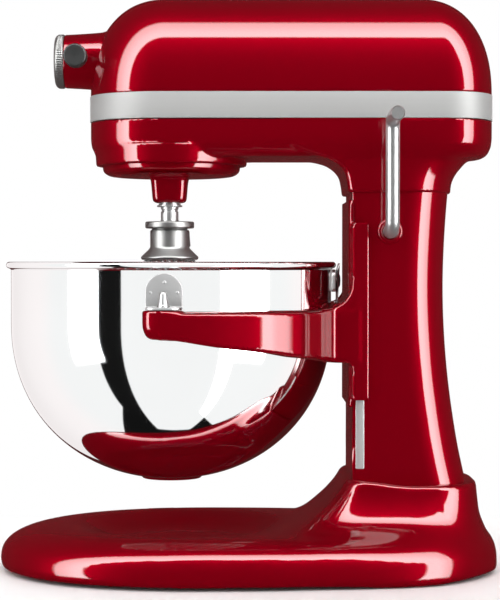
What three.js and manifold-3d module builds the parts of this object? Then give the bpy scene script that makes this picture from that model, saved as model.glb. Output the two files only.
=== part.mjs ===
// A bowl-lift stand mixer: cast stand, fixed head with a planetary drive, a steel bowl on a lifting carriage, and a
// wire whisk. Millimetres, +Z up, origin on the floor under the middle of the stand. The head points along -X, the lift
// lever is on the -Y side and the speed lever on the +Y side.
import * as THREE from "three";
import { mergeVertices } from "three/addons/utils/BufferGeometryUtils.js";
import Module from "manifold-3d";

const wasm = await Module();
wasm.setup();

// ---------------------------------------------------------------- driving dimensions

const GAP = 0.3; // between pieces that touch or run in each other
const HEIGHT = 419.3; // top of the head
const BASE_HALF_LENGTH = 184.3;
const BOWL_X = -58; // axis of the bowl and of the planetary drive
const LIFT_TRAVEL = 45;

const HEAD = { front: -117.3, rear: 177.4, half: 53, frontCap: 56, rearCap: 38, split: 338, wall: 4 };
const BAND = { low: 328.6, high: 347.4, thick: 0.9, proud: 0.5 };
const NECK_Z = 276; // joint between the column and the head
const COLUMN = { front: 73.3, half: 47, foot: 62.3, wall: 5 };
const BOWL = { radius: 117.9, depth: 114, centreZ: 180.6, rimZ: 223.9, bead: 2.45, wall: 1.2, power: 2.1 };
const CARRIAGE = { front: 67.5, plateBack: 72.9, back: 84.4, half: 53, low: 122, high: 270.5, armTop: 192 };
const ARM_PIN_Y = 132;
const LEVER = { x: 100, z: 248, rod: 5, height: 79, grip: 45, side: -71 };
const CRANK_SWING = (55 * Math.PI) / 180; // each side of level
const CRANK = { radius: LIFT_TRAVEL / 2 / Math.sin(CRANK_SWING), swing: CRANK_SWING, roller: 4 };

const MODULE_SPUR = 1.5; // centre gear and its pinion
const CENTRE_TEETH = 52;
const PINION_TEETH = 14;
const WORM = { radius: 6, module: 2, wheelTeeth: 19, z: 362 };
const RING_TEETH = 56;
const PLANET_TEETH = 16;
const MODULE_PLANET = 1.6;
const ORBIT = (MODULE_PLANET * (RING_TEETH - PLANET_TEETH)) / 2;
const MODULE_BEVEL = 1.3;
const CROWN_TEETH = 32;
const HUB_TEETH = 20;
const HUB_Z = 374; // axis of the attachment hub
const CROWN_RADIUS = (MODULE_BEVEL * CROWN_TEETH) / 2;
const HUB_GEAR_RADIUS = (MODULE_BEVEL * HUB_TEETH) / 2;

const WHEEL_Y = WORM.radius + (WORM.module * WORM.wheelTeeth) / 2;
const SPUR_DISTANCE = (MODULE_SPUR * (CENTRE_TEETH + PINION_TEETH)) / 2;
const WHEEL_X = BOWL_X + Math.sqrt(SPUR_DISTANCE ** 2 - WHEEL_Y ** 2);

// ---------------------------------------------------------------- materials

const paint = (color, roughness, metalness) => new THREE.MeshStandardMaterial({ color, roughness, metalness });
const RED = paint(0x8c0010, 0.15, 0.2);
const BRUSHED = paint(0xb8b8b6, 0.35, 1);
const CHROME = paint(0xd5d6d6, 0.08, 1);
const STEEL = paint(0xa9aaab, 0.3, 1);
const BLACK = paint(0x2b2d2d, 0.45, 0);
const RUBBER = paint(0x1c1c1c, 0.85, 0);
const BRONZE = paint(0xa6793c, 0.4, 1);
const COPPER = paint(0xb4622e, 0.35, 1);
const ALUMINIUM = paint(0x9a9c9e, 0.5, 1);
const NYLON = paint(0xd9d4c4, 0.6, 0);
const BOARD = paint(0x14512f, 0.6, 0);

// ---------------------------------------------------------------- solids

// A closed geometry as a manifold-3d solid with its faces pointing out.
function solid(geometry) {
  const bare = (geometry.index ? geometry.toNonIndexed() : geometry.clone());
  bare.deleteAttribute("normal");
  bare.deleteAttribute("uv");
  const merged = mergeVertices(bare, 1e-4);
  const tris = [];
  for (let i = 0; i < merged.index.count; i += 3) {
    const [a, b, c] = [0, 1, 2].map((k) => merged.index.getX(i + k));
    if (a !== b && b !== c && c !== a) tris.push(a, b, c);
  }
  const make = (order) =>
    new wasm.Manifold(
      new wasm.Mesh({
        numProp: 3,
        vertProperties: new Float32Array(merged.attributes.position.array),
        triVerts: new Uint32Array(order),
      }),
    );
  const made = make(tris);
  if (made.volume() > 0) return made;
  for (let i = 0; i < tris.length; i += 3) [tris[i + 1], tris[i + 2]] = [tris[i + 2], tris[i + 1]];
  return make(tris);
}

const join = (...parts) => parts.reduce((all, part) => all.add(part));
const cut = (body, ...tools) => tools.reduce((left, tool) => left.subtract(tool), body);

function box(x0, x1, y0, y1, z0, z1) {
  const g = new THREE.BoxGeometry(x1 - x0, y1 - y0, z1 - z0);
  return solid(g.translate((x0 + x1) / 2, (y0 + y1) / 2, (z0 + z1) / 2));
}

// A straight round bar from one point to another, with a radius at each end.
function rod(from, to, radius, endRadius = radius, sides = 16) {
  const [a, b] = [new THREE.Vector3(...from), new THREE.Vector3(...to)];
  const along = b.clone().sub(a);
  const g = new THREE.CylinderGeometry(endRadius, radius, along.length(), sides);
  g.applyQuaternion(new THREE.Quaternion().setFromUnitVectors(new THREE.Vector3(0, 1, 0), along.clone().normalize()));
  return solid(g.translate(...a.add(b).multiplyScalar(0.5).toArray()));
}

// A profile of [radius, height] pairs turned about the vertical line through x, y.
function turned(profile, x = 0, y = 0, sides = 24) {
  const points = profile.map(([r, z]) => new THREE.Vector2(r, z));
  return solid(new THREE.LatheGeometry(points, sides).rotateX(Math.PI / 2).translate(x, y, 0));
}

// The same, turned about a line along X at height z: heights in the profile are x.
function turnedAlongX(profile, z, sides = 24) {
  const points = profile.map(([r, x]) => new THREE.Vector2(r, x));
  return solid(new THREE.LatheGeometry(points, sides).rotateZ(-Math.PI / 2).translate(0, 0, z));
}

// An outline of [x, y] pairs, with holes, raised from z0 to z1.
function slab(outline, z0, z1, holes = []) {
  const shape = new THREE.Shape(outline.map(([x, y]) => new THREE.Vector2(x, y)));
  shape.holes = holes.map((hole) => new THREE.Path(hole.map(([x, y]) => new THREE.Vector2(x, y))));
  return solid(new THREE.ExtrudeGeometry(shape, { depth: z1 - z0, bevelEnabled: false }).translate(0, 0, z0));
}

// A skin over a stack of closed rings: ringAt(angle, level) gives a point, and each end is closed by a fan.
function stack(levels, sides, ringAt) {
  const steps = levels.length - 1;
  const g = new THREE.CylinderGeometry(1, 1, 1, sides, steps);
  const p = g.attributes.position;
  const half = Math.PI / sides;
  for (let i = 0; i < p.count; i++) {
    const level = levels[Math.round((p.getY(i) + 0.5) * steps)];
    const centre = Math.hypot(p.getX(i), p.getZ(i)) < 0.5;
    const step = Math.round(Math.atan2(p.getZ(i), p.getX(i)) / (2 * half));
    const turns = centre ? [0, 1, 2, 3].map((k) => half + (k * Math.PI) / 2) : [half + step * 2 * half];
    const sum = new THREE.Vector3();
    turns.forEach((a) => sum.add(new THREE.Vector3(...ringAt(a, level))));
    p.setXYZ(i, ...sum.multiplyScalar(1 / turns.length).toArray());
  }
  return solid(g);
}

const power = (v, n) => Math.sign(v) * Math.abs(v) ** (2 / n);

// A long outline with straight sides and a rounded cap at each end, at one angle: [x, y].
function capped(angle, front, rear, half, frontCap, rearCap, frontPower = 2.1, rearPower = 2.6) {
  const [c, s] = [Math.cos(angle), Math.sin(angle)];
  return c > 0
    ? [rear - rearCap + rearCap * power(c, rearPower), half * power(s, rearPower)]
    : [front + frontCap + frontCap * power(c, frontPower), half * power(s, frontPower)];
}

// A superellipse from x0 to x1 with that half width, at one angle: [x, y].
function oval(angle, x0, x1, half, n) {
  const x = (x0 + x1) / 2 + ((x1 - x0) / 2) * power(Math.cos(angle), n);
  return [x, half * power(Math.sin(angle), n)];
}

const ring = (count, pointAt) => Array.from({ length: count }, (_, i) => pointAt((2 * Math.PI * i) / count));

// ---------------------------------------------------------------- gears

// The outline of a gear: each tooth is a trapezium, thinner than its gap so that the pair has backlash. Tooth 0 points
// along phase. A negative depth gives an internal gear's outline, whose teeth point inwards.
function gearOutline(teeth, module, phase, options = {}) {
  const { tip = 0.8, root = 1.05, thick = 0.34, taper = 0.42, inward = false } = options;
  const pitch = (module * teeth) / 2;
  const sign = inward ? -1 : 1;
  const [rTip, rRoot] = [pitch + sign * tip * module, pitch - sign * root * module];
  const halfAt = (share) => ((thick / 2) * Math.PI * module + share * taper * module) / pitch;
  const points = [];
  for (let i = 0; i < teeth; i++) {
    const a = phase + (2 * Math.PI * i) / teeth;
    const [wide, narrow] = [halfAt(root), halfAt(-tip)];
    for (const [r, turn] of [[rRoot, -wide], [rTip, -narrow], [rTip, narrow], [rRoot, wide]])
      points.push([r * Math.cos(a + turn), r * Math.sin(a + turn)]);
  }
  return points;
}

const shift = (outline, x, y) => outline.map(([u, v]) => [u + x, v + y]);
const circle = (radius, sides = 20) => ring(sides, (a) => [radius * Math.cos(a), radius * Math.sin(a)]);

// A bevel gear about +Z with its apex at the origin: the outline at the back plane shrinks towards the apex.
function bevelGear(teeth, module, phase, back, face) {
  const outline = gearOutline(teeth, module, phase, { tip: 0.6, root: 0.9, thick: 0.3 });
  const shape = new THREE.Shape(outline.map(([x, y]) => new THREE.Vector2(x, y)));
  const g = new THREE.ExtrudeGeometry(shape, { depth: 1, bevelEnabled: false });
  const p = g.attributes.position;
  for (let i = 0; i < p.count; i++) {
    const share = p.getZ(i) > 0.5 ? face : 1;
    p.setXYZ(i, p.getX(i) * share, p.getY(i) * share, -back * share);
  }
  return solid(g);
}

// ---------------------------------------------------------------- the node list

const mixer = new THREE.Group();

function node(name, made, material) {
  const mesh = made.getMesh();
  const n = mesh.numProp;
  const positions = new Float32Array(mesh.numVert * 3);
  for (let i = 0; i < mesh.numVert; i++) positions.set(mesh.vertProperties.subarray(i * n, i * n + 3), i * 3);
  const g = new THREE.BufferGeometry();
  g.setAttribute("position", new THREE.BufferAttribute(positions, 3));
  g.setIndex(new THREE.BufferAttribute(mesh.triVerts, 1));
  g.computeVertexNormals();
  const part = new THREE.Mesh(g, material);
  part.name = name;
  mixer.add(part);
}

// ---------------------------------------------------------------- base and feet

// Half of the foot's plan outline, front to rear along the +Y side.
const BASE_OUTLINE = [
  [-BASE_HALF_LENGTH, 0], [-178, 34], [-158, 64], [-128, 87], [-90, 101], [-45, 106], [0, 104.5], [50, 99.5],
  [100, 93], [138, 79], [164, 57], [179.5, 29], [BASE_HALF_LENGTH, 0],
];

const baseCurve = new THREE.CatmullRomCurve3(
  [...BASE_OUTLINE, ...BASE_OUTLINE.slice(1, -1).reverse().map(([x, y]) => [x, -y])]
    .map(([x, y]) => new THREE.Vector3(x, y, 0)),
  true,
);

// The plan outline drawn in towards its middle by a share, at a height. Ring angles run once round the curve.
function baseRing(angle, { scale, z }) {
  const p = baseCurve.getPoint((((angle / (2 * Math.PI)) % 1) + 1) % 1);
  return [p.x * scale, p.y * scale, z];
}

// The pedestal that rises from the foot to the collar round the column.
const PEDESTAL = [
  { z: 9, x0: 14, x1: 180, half: 86, n: 2.2 },
  { z: 20, x0: 20, x1: 179.6, half: 83, n: 2.3 },
  { z: 31, x0: 32, x1: 173.4, half: 75, n: 2.5 },
  { z: 40, x0: 42, x1: 169.4, half: 67, n: 2.8 },
  { z: 50, x0: 53, x1: 167.2, half: 61, n: 3 },
  { z: 59, x0: 61, x1: 166.3, half: 58, n: 3 },
  { z: 64.5, x0: 66.5, x1: 163, half: 55.5, n: 3 },
  { z: 66.5, x0: 69.5, x1: 158, half: 51.5, n: 3 },
];

// The collar's front lip stands higher than its back.
const lipRise = (x, z) => 4 * THREE.MathUtils.smoothstep(118 - x, 0, 46) * THREE.MathUtils.smoothstep(z, 40, 66);

function pedestalRing(angle, { z, x0, x1, half, n }, inset = 0) {
  const [x, y] = oval(angle, x0 + inset, x1 - inset, half - inset, n);
  return [x, y, z + lipRise(x, z)];
}

const FEET = [[-148, 0], [-70, 80], [-70, -80], [140, 50], [140, -50]];
const COLUMN_BOLTS = [[90, 32], [90, -32], [136, 27], [136, -27]];
const FOOT_RADIUS = 9;
const BASE_UNDERSIDE = 2.5;
const COLUMN_SIDES = 24;

function makeBase() {
  const pad = (levels) => stack(levels, 32, baseRing);
  const outer = pad([
    { scale: 0.985, z: BASE_UNDERSIDE }, { scale: 1, z: 8 }, { scale: 0.99, z: 14 }, { scale: 0.945, z: 22 },
    { scale: 0.85, z: 29.3 }, { scale: 0.7, z: 34 },
  ]);
  const inner = pad([
    { scale: 0.955, z: -5 }, { scale: 0.945, z: 15 }, { scale: 0.87, z: 22.5 }, { scale: 0.76, z: 26 },
  ]);
  const dish = turned([[0, 20.3], [50, 21.2], [66, 24.5], [76, 29.5], [84, 35], [86, 60], [0, 60]], 0, 0, 24);
  const dishAt = dish.scale([1.06, 0.98, 1]).translate([-52, 0, 0]);
  const dishWall = turned([[0, 15.8], [58, 16.6], [76, 20.4], [86, 27], [90, 33.4], [0, 33.4]], 0, 0, 16)
    .scale([1.06, 0.98, 1]).translate([-52, 0, 0]);
  const pedestal = stack(PEDESTAL, 24, pedestalRing);
  const hollow = stack(
    [{ z: -5, x0: 18, x1: 174, half: 78, n: 2.2 }, { z: 20, x0: 26, x1: 172, half: 75, n: 2.3 },
      { z: 31, x0: 38, x1: 167, half: 68, n: 2.6 }, { z: 44, x0: 54, x1: 161, half: 58, n: 3 },
      { z: 55, x0: 66, x1: 158, half: 50, n: 3 }],
    16,
    (a, level) => pedestalRing(a, level, 1.5),
  );
  const shell = cut(join(outer, pedestal), dishAt);
  const column = stack(
    [{ z: COLUMN.foot - GAP }, { z: 90 }], COLUMN_SIDES,
    (a, { z }) => [...columnRing(a, { z: COLUMN.foot }, -0.8).slice(0, 2), z],
  );
  const emptied = cut(shell, inner.subtract(dishWall), hollow, column);
  const solidBase = cut(join(outer, pedestal), dishAt);
  const bosses = FEET.map(([x, y]) => rod([x, y, 6.5], [x, y, 54], 7, 8, 10).intersect(solidBase));
  const bolts = COLUMN_BOLTS.map(([x, y]) => rod([x, y, 30], [x, y, 80], 3.4, 3.4, 10));
  return cut(join(emptied, ...bosses), ...bolts);
}

// ---------------------------------------------------------------- column

// Where the column's back lies at each height.
const COLUMN_BACK = [
  [62, 158.6], [76, 155.4], [92, 152], [112, 148.6], [140, 144.8], [172, 142], [207, 140.8], [243, 141.8], [276, 144.2],
];

function columnBack(z) {
  const i = Math.max(1, COLUMN_BACK.findIndex(([level]) => level >= z));
  const [[z0, x0], [z1, x1]] = [COLUMN_BACK[i - 1], COLUMN_BACK[i]];
  return THREE.MathUtils.lerp(x0, x1, THREE.MathUtils.clamp((z - z0) / (z1 - z0), 0, 1));
}

function columnRing(angle, { z }, inset = 0) {
  const [x, y] = capped(
    angle, COLUMN.front + inset, columnBack(z) - inset, COLUMN.half - inset, 6, 34, 6, 2.5,
  );
  return [x, y, z];
}

const RAIL = { x0: 75.5, x1: 81.8, low: 78, high: 252, inner: 46, outer: 47.1 };
const FRONT_SLOT = { half: 10, low: 126, high: 208 };
const BUSH_RADIUS = 9.2;
const GLAND_Z = 96;

function makeColumn() {
  const levels = COLUMN_BACK.map(([z]) => ({ z: Math.min(Math.max(z, COLUMN.foot), NECK_Z - GAP) }));
  const outer = stack(levels, COLUMN_SIDES, (a, l) => columnRing(a, l));
  const hollowLevels = [{ z: 70 }, { z: 92 }, { z: 136 }, { z: 172 }, { z: 207 }, { z: 290 }];
  const inner = stack(hollowLevels, 16, (a, { z }) => {
    const [x, y] = columnRing(a, { z: Math.min(z, 276) }, COLUMN.wall);
    return [x, y, z];
  });
  const tools = [
    inner,
    box(60, 90, -FRONT_SLOT.half, FRONT_SLOT.half, FRONT_SLOT.low, FRONT_SLOT.high),
    rod([LEVER.x, -60, LEVER.z], [LEVER.x, 60, LEVER.z], BUSH_RADIUS + GAP, BUSH_RADIUS + GAP, 20),
    rod([130, 0, GLAND_Z], [170, 0, GLAND_Z], 8.3, 8.3, 20),
    ...COLUMN_BOLTS.map(([x, y]) => rod([x, y, 50], [x, y, 80], 3.4, 3.4, 10)),
  ];
  for (const side of [-1, 1]) {
    const [a, b] = [side * (RAIL.inner - GAP), side * 60].sort((p, q) => p - q);
    tools.push(box(RAIL.x0 - GAP, RAIL.x1 + GAP, a, b, RAIL.low - GAP, RAIL.high + GAP));
  }
  return cut(outer, ...tools);
}

// ---------------------------------------------------------------- head shells

// How much of its size the head keeps at a height above the band.
const crown = (z) => (1 - ((z - BAND.high) / (HEIGHT - BAND.high)) ** 2.25) ** (1 / 2.25);

function headRing(angle, { z, inset = 0, keep = 1 }) {
  const draw = 1 - keep;
  const [x, y] = capped(
    angle,
    HEAD.front + inset + HEAD.frontCap * draw,
    HEAD.rear - inset - 54 * draw,
    (HEAD.half - inset) * keep,
    Math.max(6, (HEAD.frontCap - inset) * (0.25 + 0.75 * keep)),
    Math.max(6, (HEAD.rearCap - inset) * (0.25 + 0.75 * keep)),
    2.1,
    2.4,
  );
  return [x, y, z];
}

const HEAD_SIDES = 32;
const GROOVE = BAND.thick - BAND.proud + GAP;

// The attachment hub's barrel along X, and its bore with the bearing seat.
const HUB = { face: -136.3, bore: 16.7, seat: 9.5, knobX: -125.3 };

function makeTopCover() {
  const outerLevels = [
    { z: HEAD.split + GAP, inset: GROOVE }, { z: BAND.high + GAP, inset: GROOVE }, { z: BAND.high + GAP },
    ...[0.3, 0.54, 0.73, 0.87, 0.96].map((t) => {
      const z = BAND.high + t * (HEIGHT - BAND.high);
      return { z, keep: crown(z) };
    }),
    { z: HEIGHT, keep: 0.06 },
  ];
  const innerLevels = [
    { z: HEAD.split - 2, inset: HEAD.wall }, { z: BAND.high, inset: HEAD.wall },
    ...[0.3, 0.56, 0.8].map((t) => {
      const z = BAND.high + t * (HEIGHT - BAND.high);
      return { z: z - 2, inset: HEAD.wall, keep: crown(z) * (t > 0.7 ? 0.95 : 1) };
    }),
    { z: HEIGHT - 6, inset: HEAD.wall, keep: 0.35 },
  ];
  const outer = stack(outerLevels, HEAD_SIDES, headRing);
  const inner = stack(innerLevels, 20, headRing);
  const barrel = turnedAlongX(
    [[0, HUB.face], [19.5, HUB.face], [20.2, -120], [21.4, -108], [22, -104], [0, -104]], HUB_Z, 24,
  );
  const bore = turnedAlongX(
    [[0, -140], [HUB.bore, -140], [HUB.bore, -117], [HUB.seat, -117], [HUB.seat, -100], [0, -100]], HUB_Z, 24,
  );
  const screwHole = rod([HUB.knobX, -40, HUB_Z], [HUB.knobX, 0, HUB_Z], 3.3, 3.3, 12);
  return cut(join(outer.subtract(inner), barrel), bore, screwHole);
}

const NECK = [
  { z: NECK_Z, x0: 71.6, x1: 145.8, half: 48.6 }, { z: 278, x0: 70.2, x1: 147, half: 49.6 },
  { z: 291.6, x0: 66.6, x1: 152.2, half: 49.2 },
  { z: 299.8, x0: 56, x1: 159.6, half: 49.5 },
  { z: 303, x0: 46, x1: 164.5, half: 50 }, { z: 308.5, x0: 30, x1: 172, half: 50.6 },
];

const SKIRT = { top: 57, bottom: 55.4, low: 296.5, pocket: 51.5, ceiling: 307 };
const CENTRE_BORE = 11;
const POSTS = [[8, 42, 305.5], [8, -42, 305.5], [-95, 33, 307.4], [-95, -33, 307.4]];
const BRACKET_Z = [331, 336];
const SPEED = { x: 58, y: 14, z: 318, swing: (20 * Math.PI) / 180 };

function makeLowerHousing() {
  const outer = stack(
    [{ z: HEAD.split, inset: GROOVE }, { z: BAND.low - GAP, inset: GROOVE }, { z: BAND.low - GAP },
      { z: 318, inset: 0.4 }, { z: 312.5, inset: 1.2 }, { z: 308, inset: 4.2 }, { z: 304.3, inset: 9.5 },
      { z: 302.2, inset: 18 }, { z: 301.8, inset: 30 }],
    HEAD_SIDES, headRing,
  );
  const inner = stack(
    [{ z: 342, inset: HEAD.wall }, { z: 318, inset: 4.4 }, { z: 311.5, inset: 6.5 }, { z: 307.5, inset: 11 },
      { z: 306, inset: 18 }],
    24, headRing,
  );
  const neck = stack(NECK, 24, (a, { z, x0, x1, half }) => [...capped(a, x0, x1, half, 12, 40, 5, 2.5), z]);
  const neckHollow = box(80, 139, -36, 36, 270, 299);
  const skirt = turned([[0, SKIRT.low], [SKIRT.bottom, SKIRT.low], [SKIRT.top, 313], [0, 313]], BOWL_X, 0, 32);
  const pocket = rod([BOWL_X, 0, 280], [BOWL_X, 0, SKIRT.ceiling], SKIRT.pocket, SKIRT.pocket, 32);
  const web = rod([BOWL_X, 0, SKIRT.ceiling], [BOWL_X, 0, 312], 52, 52, 36).intersect(join(outer, skirt));
  const centreHole = rod([BOWL_X, 0, 290], [BOWL_X, 0, 330], CENTRE_BORE + GAP, CENTRE_BORE + GAP, 24);
  const posts = POSTS.map(([x, y, low]) => rod([x, y, low], [x, y, BRACKET_Z[0] - GAP], 5, 4, 10));
  const speedPost = rod([SPEED.x, SPEED.y, 304], [SPEED.x, SPEED.y, SPEED.z + 6], 2.7, 2.7, 10);
  const journal = rod([WHEEL_X, WHEEL_Y, 308.7], [WHEEL_X, WHEEL_Y, 320], 4 + GAP, 4 + GAP, 16);
  const room = inner.subtract(rod([BOWL_X, 0, 296], [BOWL_X, 0, 312], 60, 60, 36));
  const body = cut(join(outer, neck, skirt), room, pocket);
  const cableHole = rod([116, 0, 295], [116, 0, 312], 8, 8, 12);
  const speedSlot = box(SPEED.x - 19, SPEED.x + 19, 40, 60, SPEED.z - 2.6, SPEED.z + 2.6);
  return cut(join(body, web, speedPost, ...posts), centreHole, neckHollow, cableHole, speedSlot, journal);
}

function makeBand() {
  const outline = (offset) =>
    ring(HEAD_SIDES, (a) => headRing(a + Math.PI / HEAD_SIDES, { z: 0, inset: -offset }).slice(0, 2));
  return slab(outline(BAND.proud), BAND.low, BAND.high, [outline(BAND.proud - BAND.thick)]);
}

// ---------------------------------------------------------------- hub, knob and speed lever

function makeHubCap() {
  return turnedAlongX(
    [[0, -143.3], [17.4, -143.3], [19.2, -141.6], [19.8, -138], [19.8, HUB.face - GAP], [16.3, HUB.face - GAP],
      [16.3, -131], [14.3, -131], [14.3, -137.5], [0, -137.5]],
    HUB_Z, 24,
  );
}

function makeHubKnob() {
  const grip = [[0, -31], [6.2, -31], [8.2, -33], [8.5, -35], [8.5, -43], [7.7, -44.6], [0, -45]];
  const knob = solid(
    new THREE.LatheGeometry(grip.map(([r, y]) => new THREE.Vector2(r, y)), 20).translate(HUB.knobX, 0, HUB_Z),
  );
  return join(knob, rod([HUB.knobX, -32, HUB_Z], [HUB.knobX, -17.2, HUB_Z], 2.9, 2.6, 12));
}

// The power take-off: a socket with a square hole for an attachment's shank, on a shaft with the small bevel gear.
function makeHubDrive() {
  const shaft = turnedAlongX(
    [[0, -127], [12.5, -127], [12.5, -119], [7, -119], [7, -92], [8.5, -92], [8.5, -77], [0, -77]], HUB_Z, 16,
  );
  const socket = box(-130, -113, -4.9, 4.9, HUB_Z - 4.9, HUB_Z + 4.9);
  const gear = bevelGear(HUB_TEETH, MODULE_BEVEL, Math.PI / HUB_TEETH, CROWN_RADIUS, 0.74)
    .rotate([0, 90, 0])
    .translate([BOWL_X, 0, HUB_Z]);
  return cut(join(shaft, gear), socket);
}

function makeSpeedLever() {
  const [s, c] = [Math.sin(SPEED.swing), Math.cos(SPEED.swing)];
  const at = (along) => [SPEED.x + along * s, SPEED.y + along * c, SPEED.z];
  const arm = rod(at(0), at(50), 2, 2, 8);
  const pivot = rod([SPEED.x, SPEED.y, SPEED.z - 4], [SPEED.x, SPEED.y, SPEED.z + 4], 7, 7, 16);
  const knob = join(rod(at(48), at(60), 4.4, 6, 12), rod(at(60), at(63.5), 6, 4, 12));
  const hole = rod([SPEED.x, SPEED.y, SPEED.z - 9], [SPEED.x, SPEED.y, SPEED.z + 9], 3, 3, 12);
  return cut(join(arm, pivot, knob), hole);
}

function makeSpeedPlate() {
  const outer = ring(24, (a) => [SPEED.x + 29 * power(Math.cos(a), 5), SPEED.z + 6.8 * power(Math.sin(a), 5)]);
  const hole = ring(16, (a) => [SPEED.x + 18.5 * power(Math.cos(a), 6), SPEED.z + 2.4 * power(Math.sin(a), 6)]);
  return slab(outer, 0, 1, [hole.reverse()]).rotate([90, 0, 0]).translate([0, HEAD.half + 1.3, 0]);
}

// ---------------------------------------------------------------- planetary drive

const PLANET_Y = -ORBIT; // the beater shaft stands on the near side of the drive's axis
const SHAFT_RADIUS = 6.35;
const TOOTH_TO_RING = -Math.PI / 2;

function makePlanetaryHub() {
  const disc = turned(
    [[0, 288.6], [40, 288.9], [46, 289.8], [49.6, 292], [51, 295], [51, 295.8], [14, 296.2], [14, 305.4], [0, 305.4]],
    BOWL_X, 0, 28,
  );
  const housing = turned(
    [[0, 268.6], [10, 268.6], [11.6, 269.6], [12.2, 271.4], [13.2, 284], [15, 287.2], [19, 289.4], [0, 289.4]],
    BOWL_X, PLANET_Y, 20,
  );
  const bore = rod([BOWL_X, PLANET_Y, 260], [BOWL_X, PLANET_Y, 300], SHAFT_RADIUS + GAP, SHAFT_RADIUS + GAP, 20);
  const shaftHole = rod([BOWL_X, 0, 291], [BOWL_X, 0, 310], 6 + GAP, 6 + GAP, 20);
  return cut(join(disc, housing), bore, shaftHole);
}

function makeRingGear() {
  const teeth = gearOutline(RING_TEETH, MODULE_PLANET, TOOTH_TO_RING + Math.PI / RING_TEETH, { inward: true });
  return slab(shift(circle(SKIRT.pocket - 0.7, 28), BOWL_X, 0), 297.2, SKIRT.ceiling - GAP, [shift(teeth, BOWL_X, 0)]);
}

function makePlanetPinion() {
  const teeth = gearOutline(PLANET_TEETH, MODULE_PLANET, TOOTH_TO_RING);
  return slab(shift(teeth, BOWL_X, PLANET_Y), 297.4, 305.8, [shift(circle(SHAFT_RADIUS + GAP), BOWL_X, PLANET_Y)]);
}

const PIN_Z = 243;

function makeBeaterShaft() {
  const shaft = turned(
    [[0, 236.9], [5.4, 236.9], [SHAFT_RADIUS, 238.2], [SHAFT_RADIUS, 305.8], [0, 305.8]], BOWL_X, PLANET_Y, 20,
  );
  return cut(shaft, rod([BOWL_X - 9, PLANET_Y, PIN_Z], [BOWL_X + 9, PLANET_Y, PIN_Z], 2 + GAP, 2 + GAP, 12));
}

function makeCentreShaft() {
  const shaft = rod([BOWL_X, 0, 291.4], [BOWL_X, 0, 358], 6, 6, 16);
  const collar = rod([BOWL_X, 0, 337], [BOWL_X, 0, 346], 9, 9, 12);
  const bevel = bevelGear(CROWN_TEETH, MODULE_BEVEL, Math.PI, HUB_GEAR_RADIUS, 0.74).translate([BOWL_X, 0, HUB_Z]);
  const hub = rod([BOWL_X, 0, 352], [BOWL_X, 0, HUB_Z - HUB_GEAR_RADIUS + 0.2], 11, 18, 12);
  return join(shaft, collar, hub, bevel);
}

const towardsPinion = Math.atan2(WHEEL_Y, WHEEL_X - BOWL_X);

function makeCentreGear() {
  const teeth = gearOutline(CENTRE_TEETH, MODULE_SPUR, towardsPinion);
  return slab(shift(teeth, BOWL_X, 0), 317.5, 325.5, [shift(circle(6 + GAP), BOWL_X, 0)]);
}

// The pinion and the shaft that carries the worm wheel.
function makeWheelShaft() {
  const gap = Math.PI / PINION_TEETH;
  const teeth = gearOutline(PINION_TEETH, MODULE_SPUR, towardsPinion + Math.PI + gap);
  const pinion = slab(shift(teeth, WHEEL_X, WHEEL_Y), 316, 327);
  return join(pinion, rod([WHEEL_X, WHEEL_Y, 309], [WHEEL_X, WHEEL_Y, 371], 4, 4, 12));
}

const WHEEL_HALF = 5;

// The worm wheel: its teeth lean by the worm's lead angle.
function makeWormWheel() {
  const teeth = gearOutline(WORM.wheelTeeth, WORM.module, -Math.PI / 2, { tip: 0.7, root: 0.95, thick: 0.34 });
  const shape = new THREE.Shape(teeth.map(([x, y]) => new THREE.Vector2(x, y)));
  shape.holes = [new THREE.Path(circle(4 + GAP, 16).map(([x, y]) => new THREE.Vector2(x, y)))];
  const g = new THREE.ExtrudeGeometry(shape, { depth: 2 * WHEEL_HALF, steps: 2, bevelEnabled: false });
  const lean = 1 / (WORM.radius * WORM.wheelTeeth);
  const p = g.attributes.position;
  for (let i = 0; i < p.count; i++) {
    const z = p.getZ(i) - WHEEL_HALF;
    const [c, s] = [Math.cos(z * lean), Math.sin(z * lean)];
    const [x, y] = [p.getX(i), p.getY(i)];
    p.setXYZ(i, x * c - y * s, x * s + y * c, z);
  }
  return solid(g.translate(WHEEL_X, WHEEL_Y, WORM.z));
}

// A right-hand thread: a trapezium carried round the shaft, one pitch forward each turn.
function makeWormThread() {
  const pitch = Math.PI * WORM.module;
  const turnsEachWay = 1.5;
  const perTurn = 12;
  const crest = WHEEL_X + pitch / 2;
  const section = [[4.2, -2], [4.2, 2], [WORM.radius + 1.2, 0.75], [WORM.radius + 1.2, -0.75]];
  const count = 2 * turnsEachWay * perTurn;
  const g = new THREE.CylinderGeometry(1, 1, 1, 4, count);
  const p = g.attributes.position;
  for (let i = 0; i < p.count; i++) {
    const share = p.getY(i);
    const turn = share * 2 * turnsEachWay * 2 * Math.PI;
    const centre = Math.hypot(p.getX(i), p.getZ(i)) < 0.5;
    const corner = (Math.round(Math.atan2(p.getZ(i), p.getX(i)) / (Math.PI / 2)) + 4) % 4;
    const [r, along] = centre ? [5.5, 0] : section[corner];
    p.setXYZ(i, crest + along + (turn / (2 * Math.PI)) * pitch, r * Math.cos(turn), WORM.z + r * Math.sin(turn));
  }
  return solid(g);
}

// ---------------------------------------------------------------- motor

const MOTOR_Z = WORM.z;

function makeArmature() {
  const body = turnedAlongX(
    [[0, -33], [4.6, -33], [4.6, 8], [5, 8], [5, 27], [22.2, 27], [22.2, 93], [5, 93], [5, 122], [13, 122], [13, 137],
      [5, 137], [5, 153], [0, 153]],
    MOTOR_Z, 16,
  );
  return join(body, makeWormThread());
}

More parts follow.
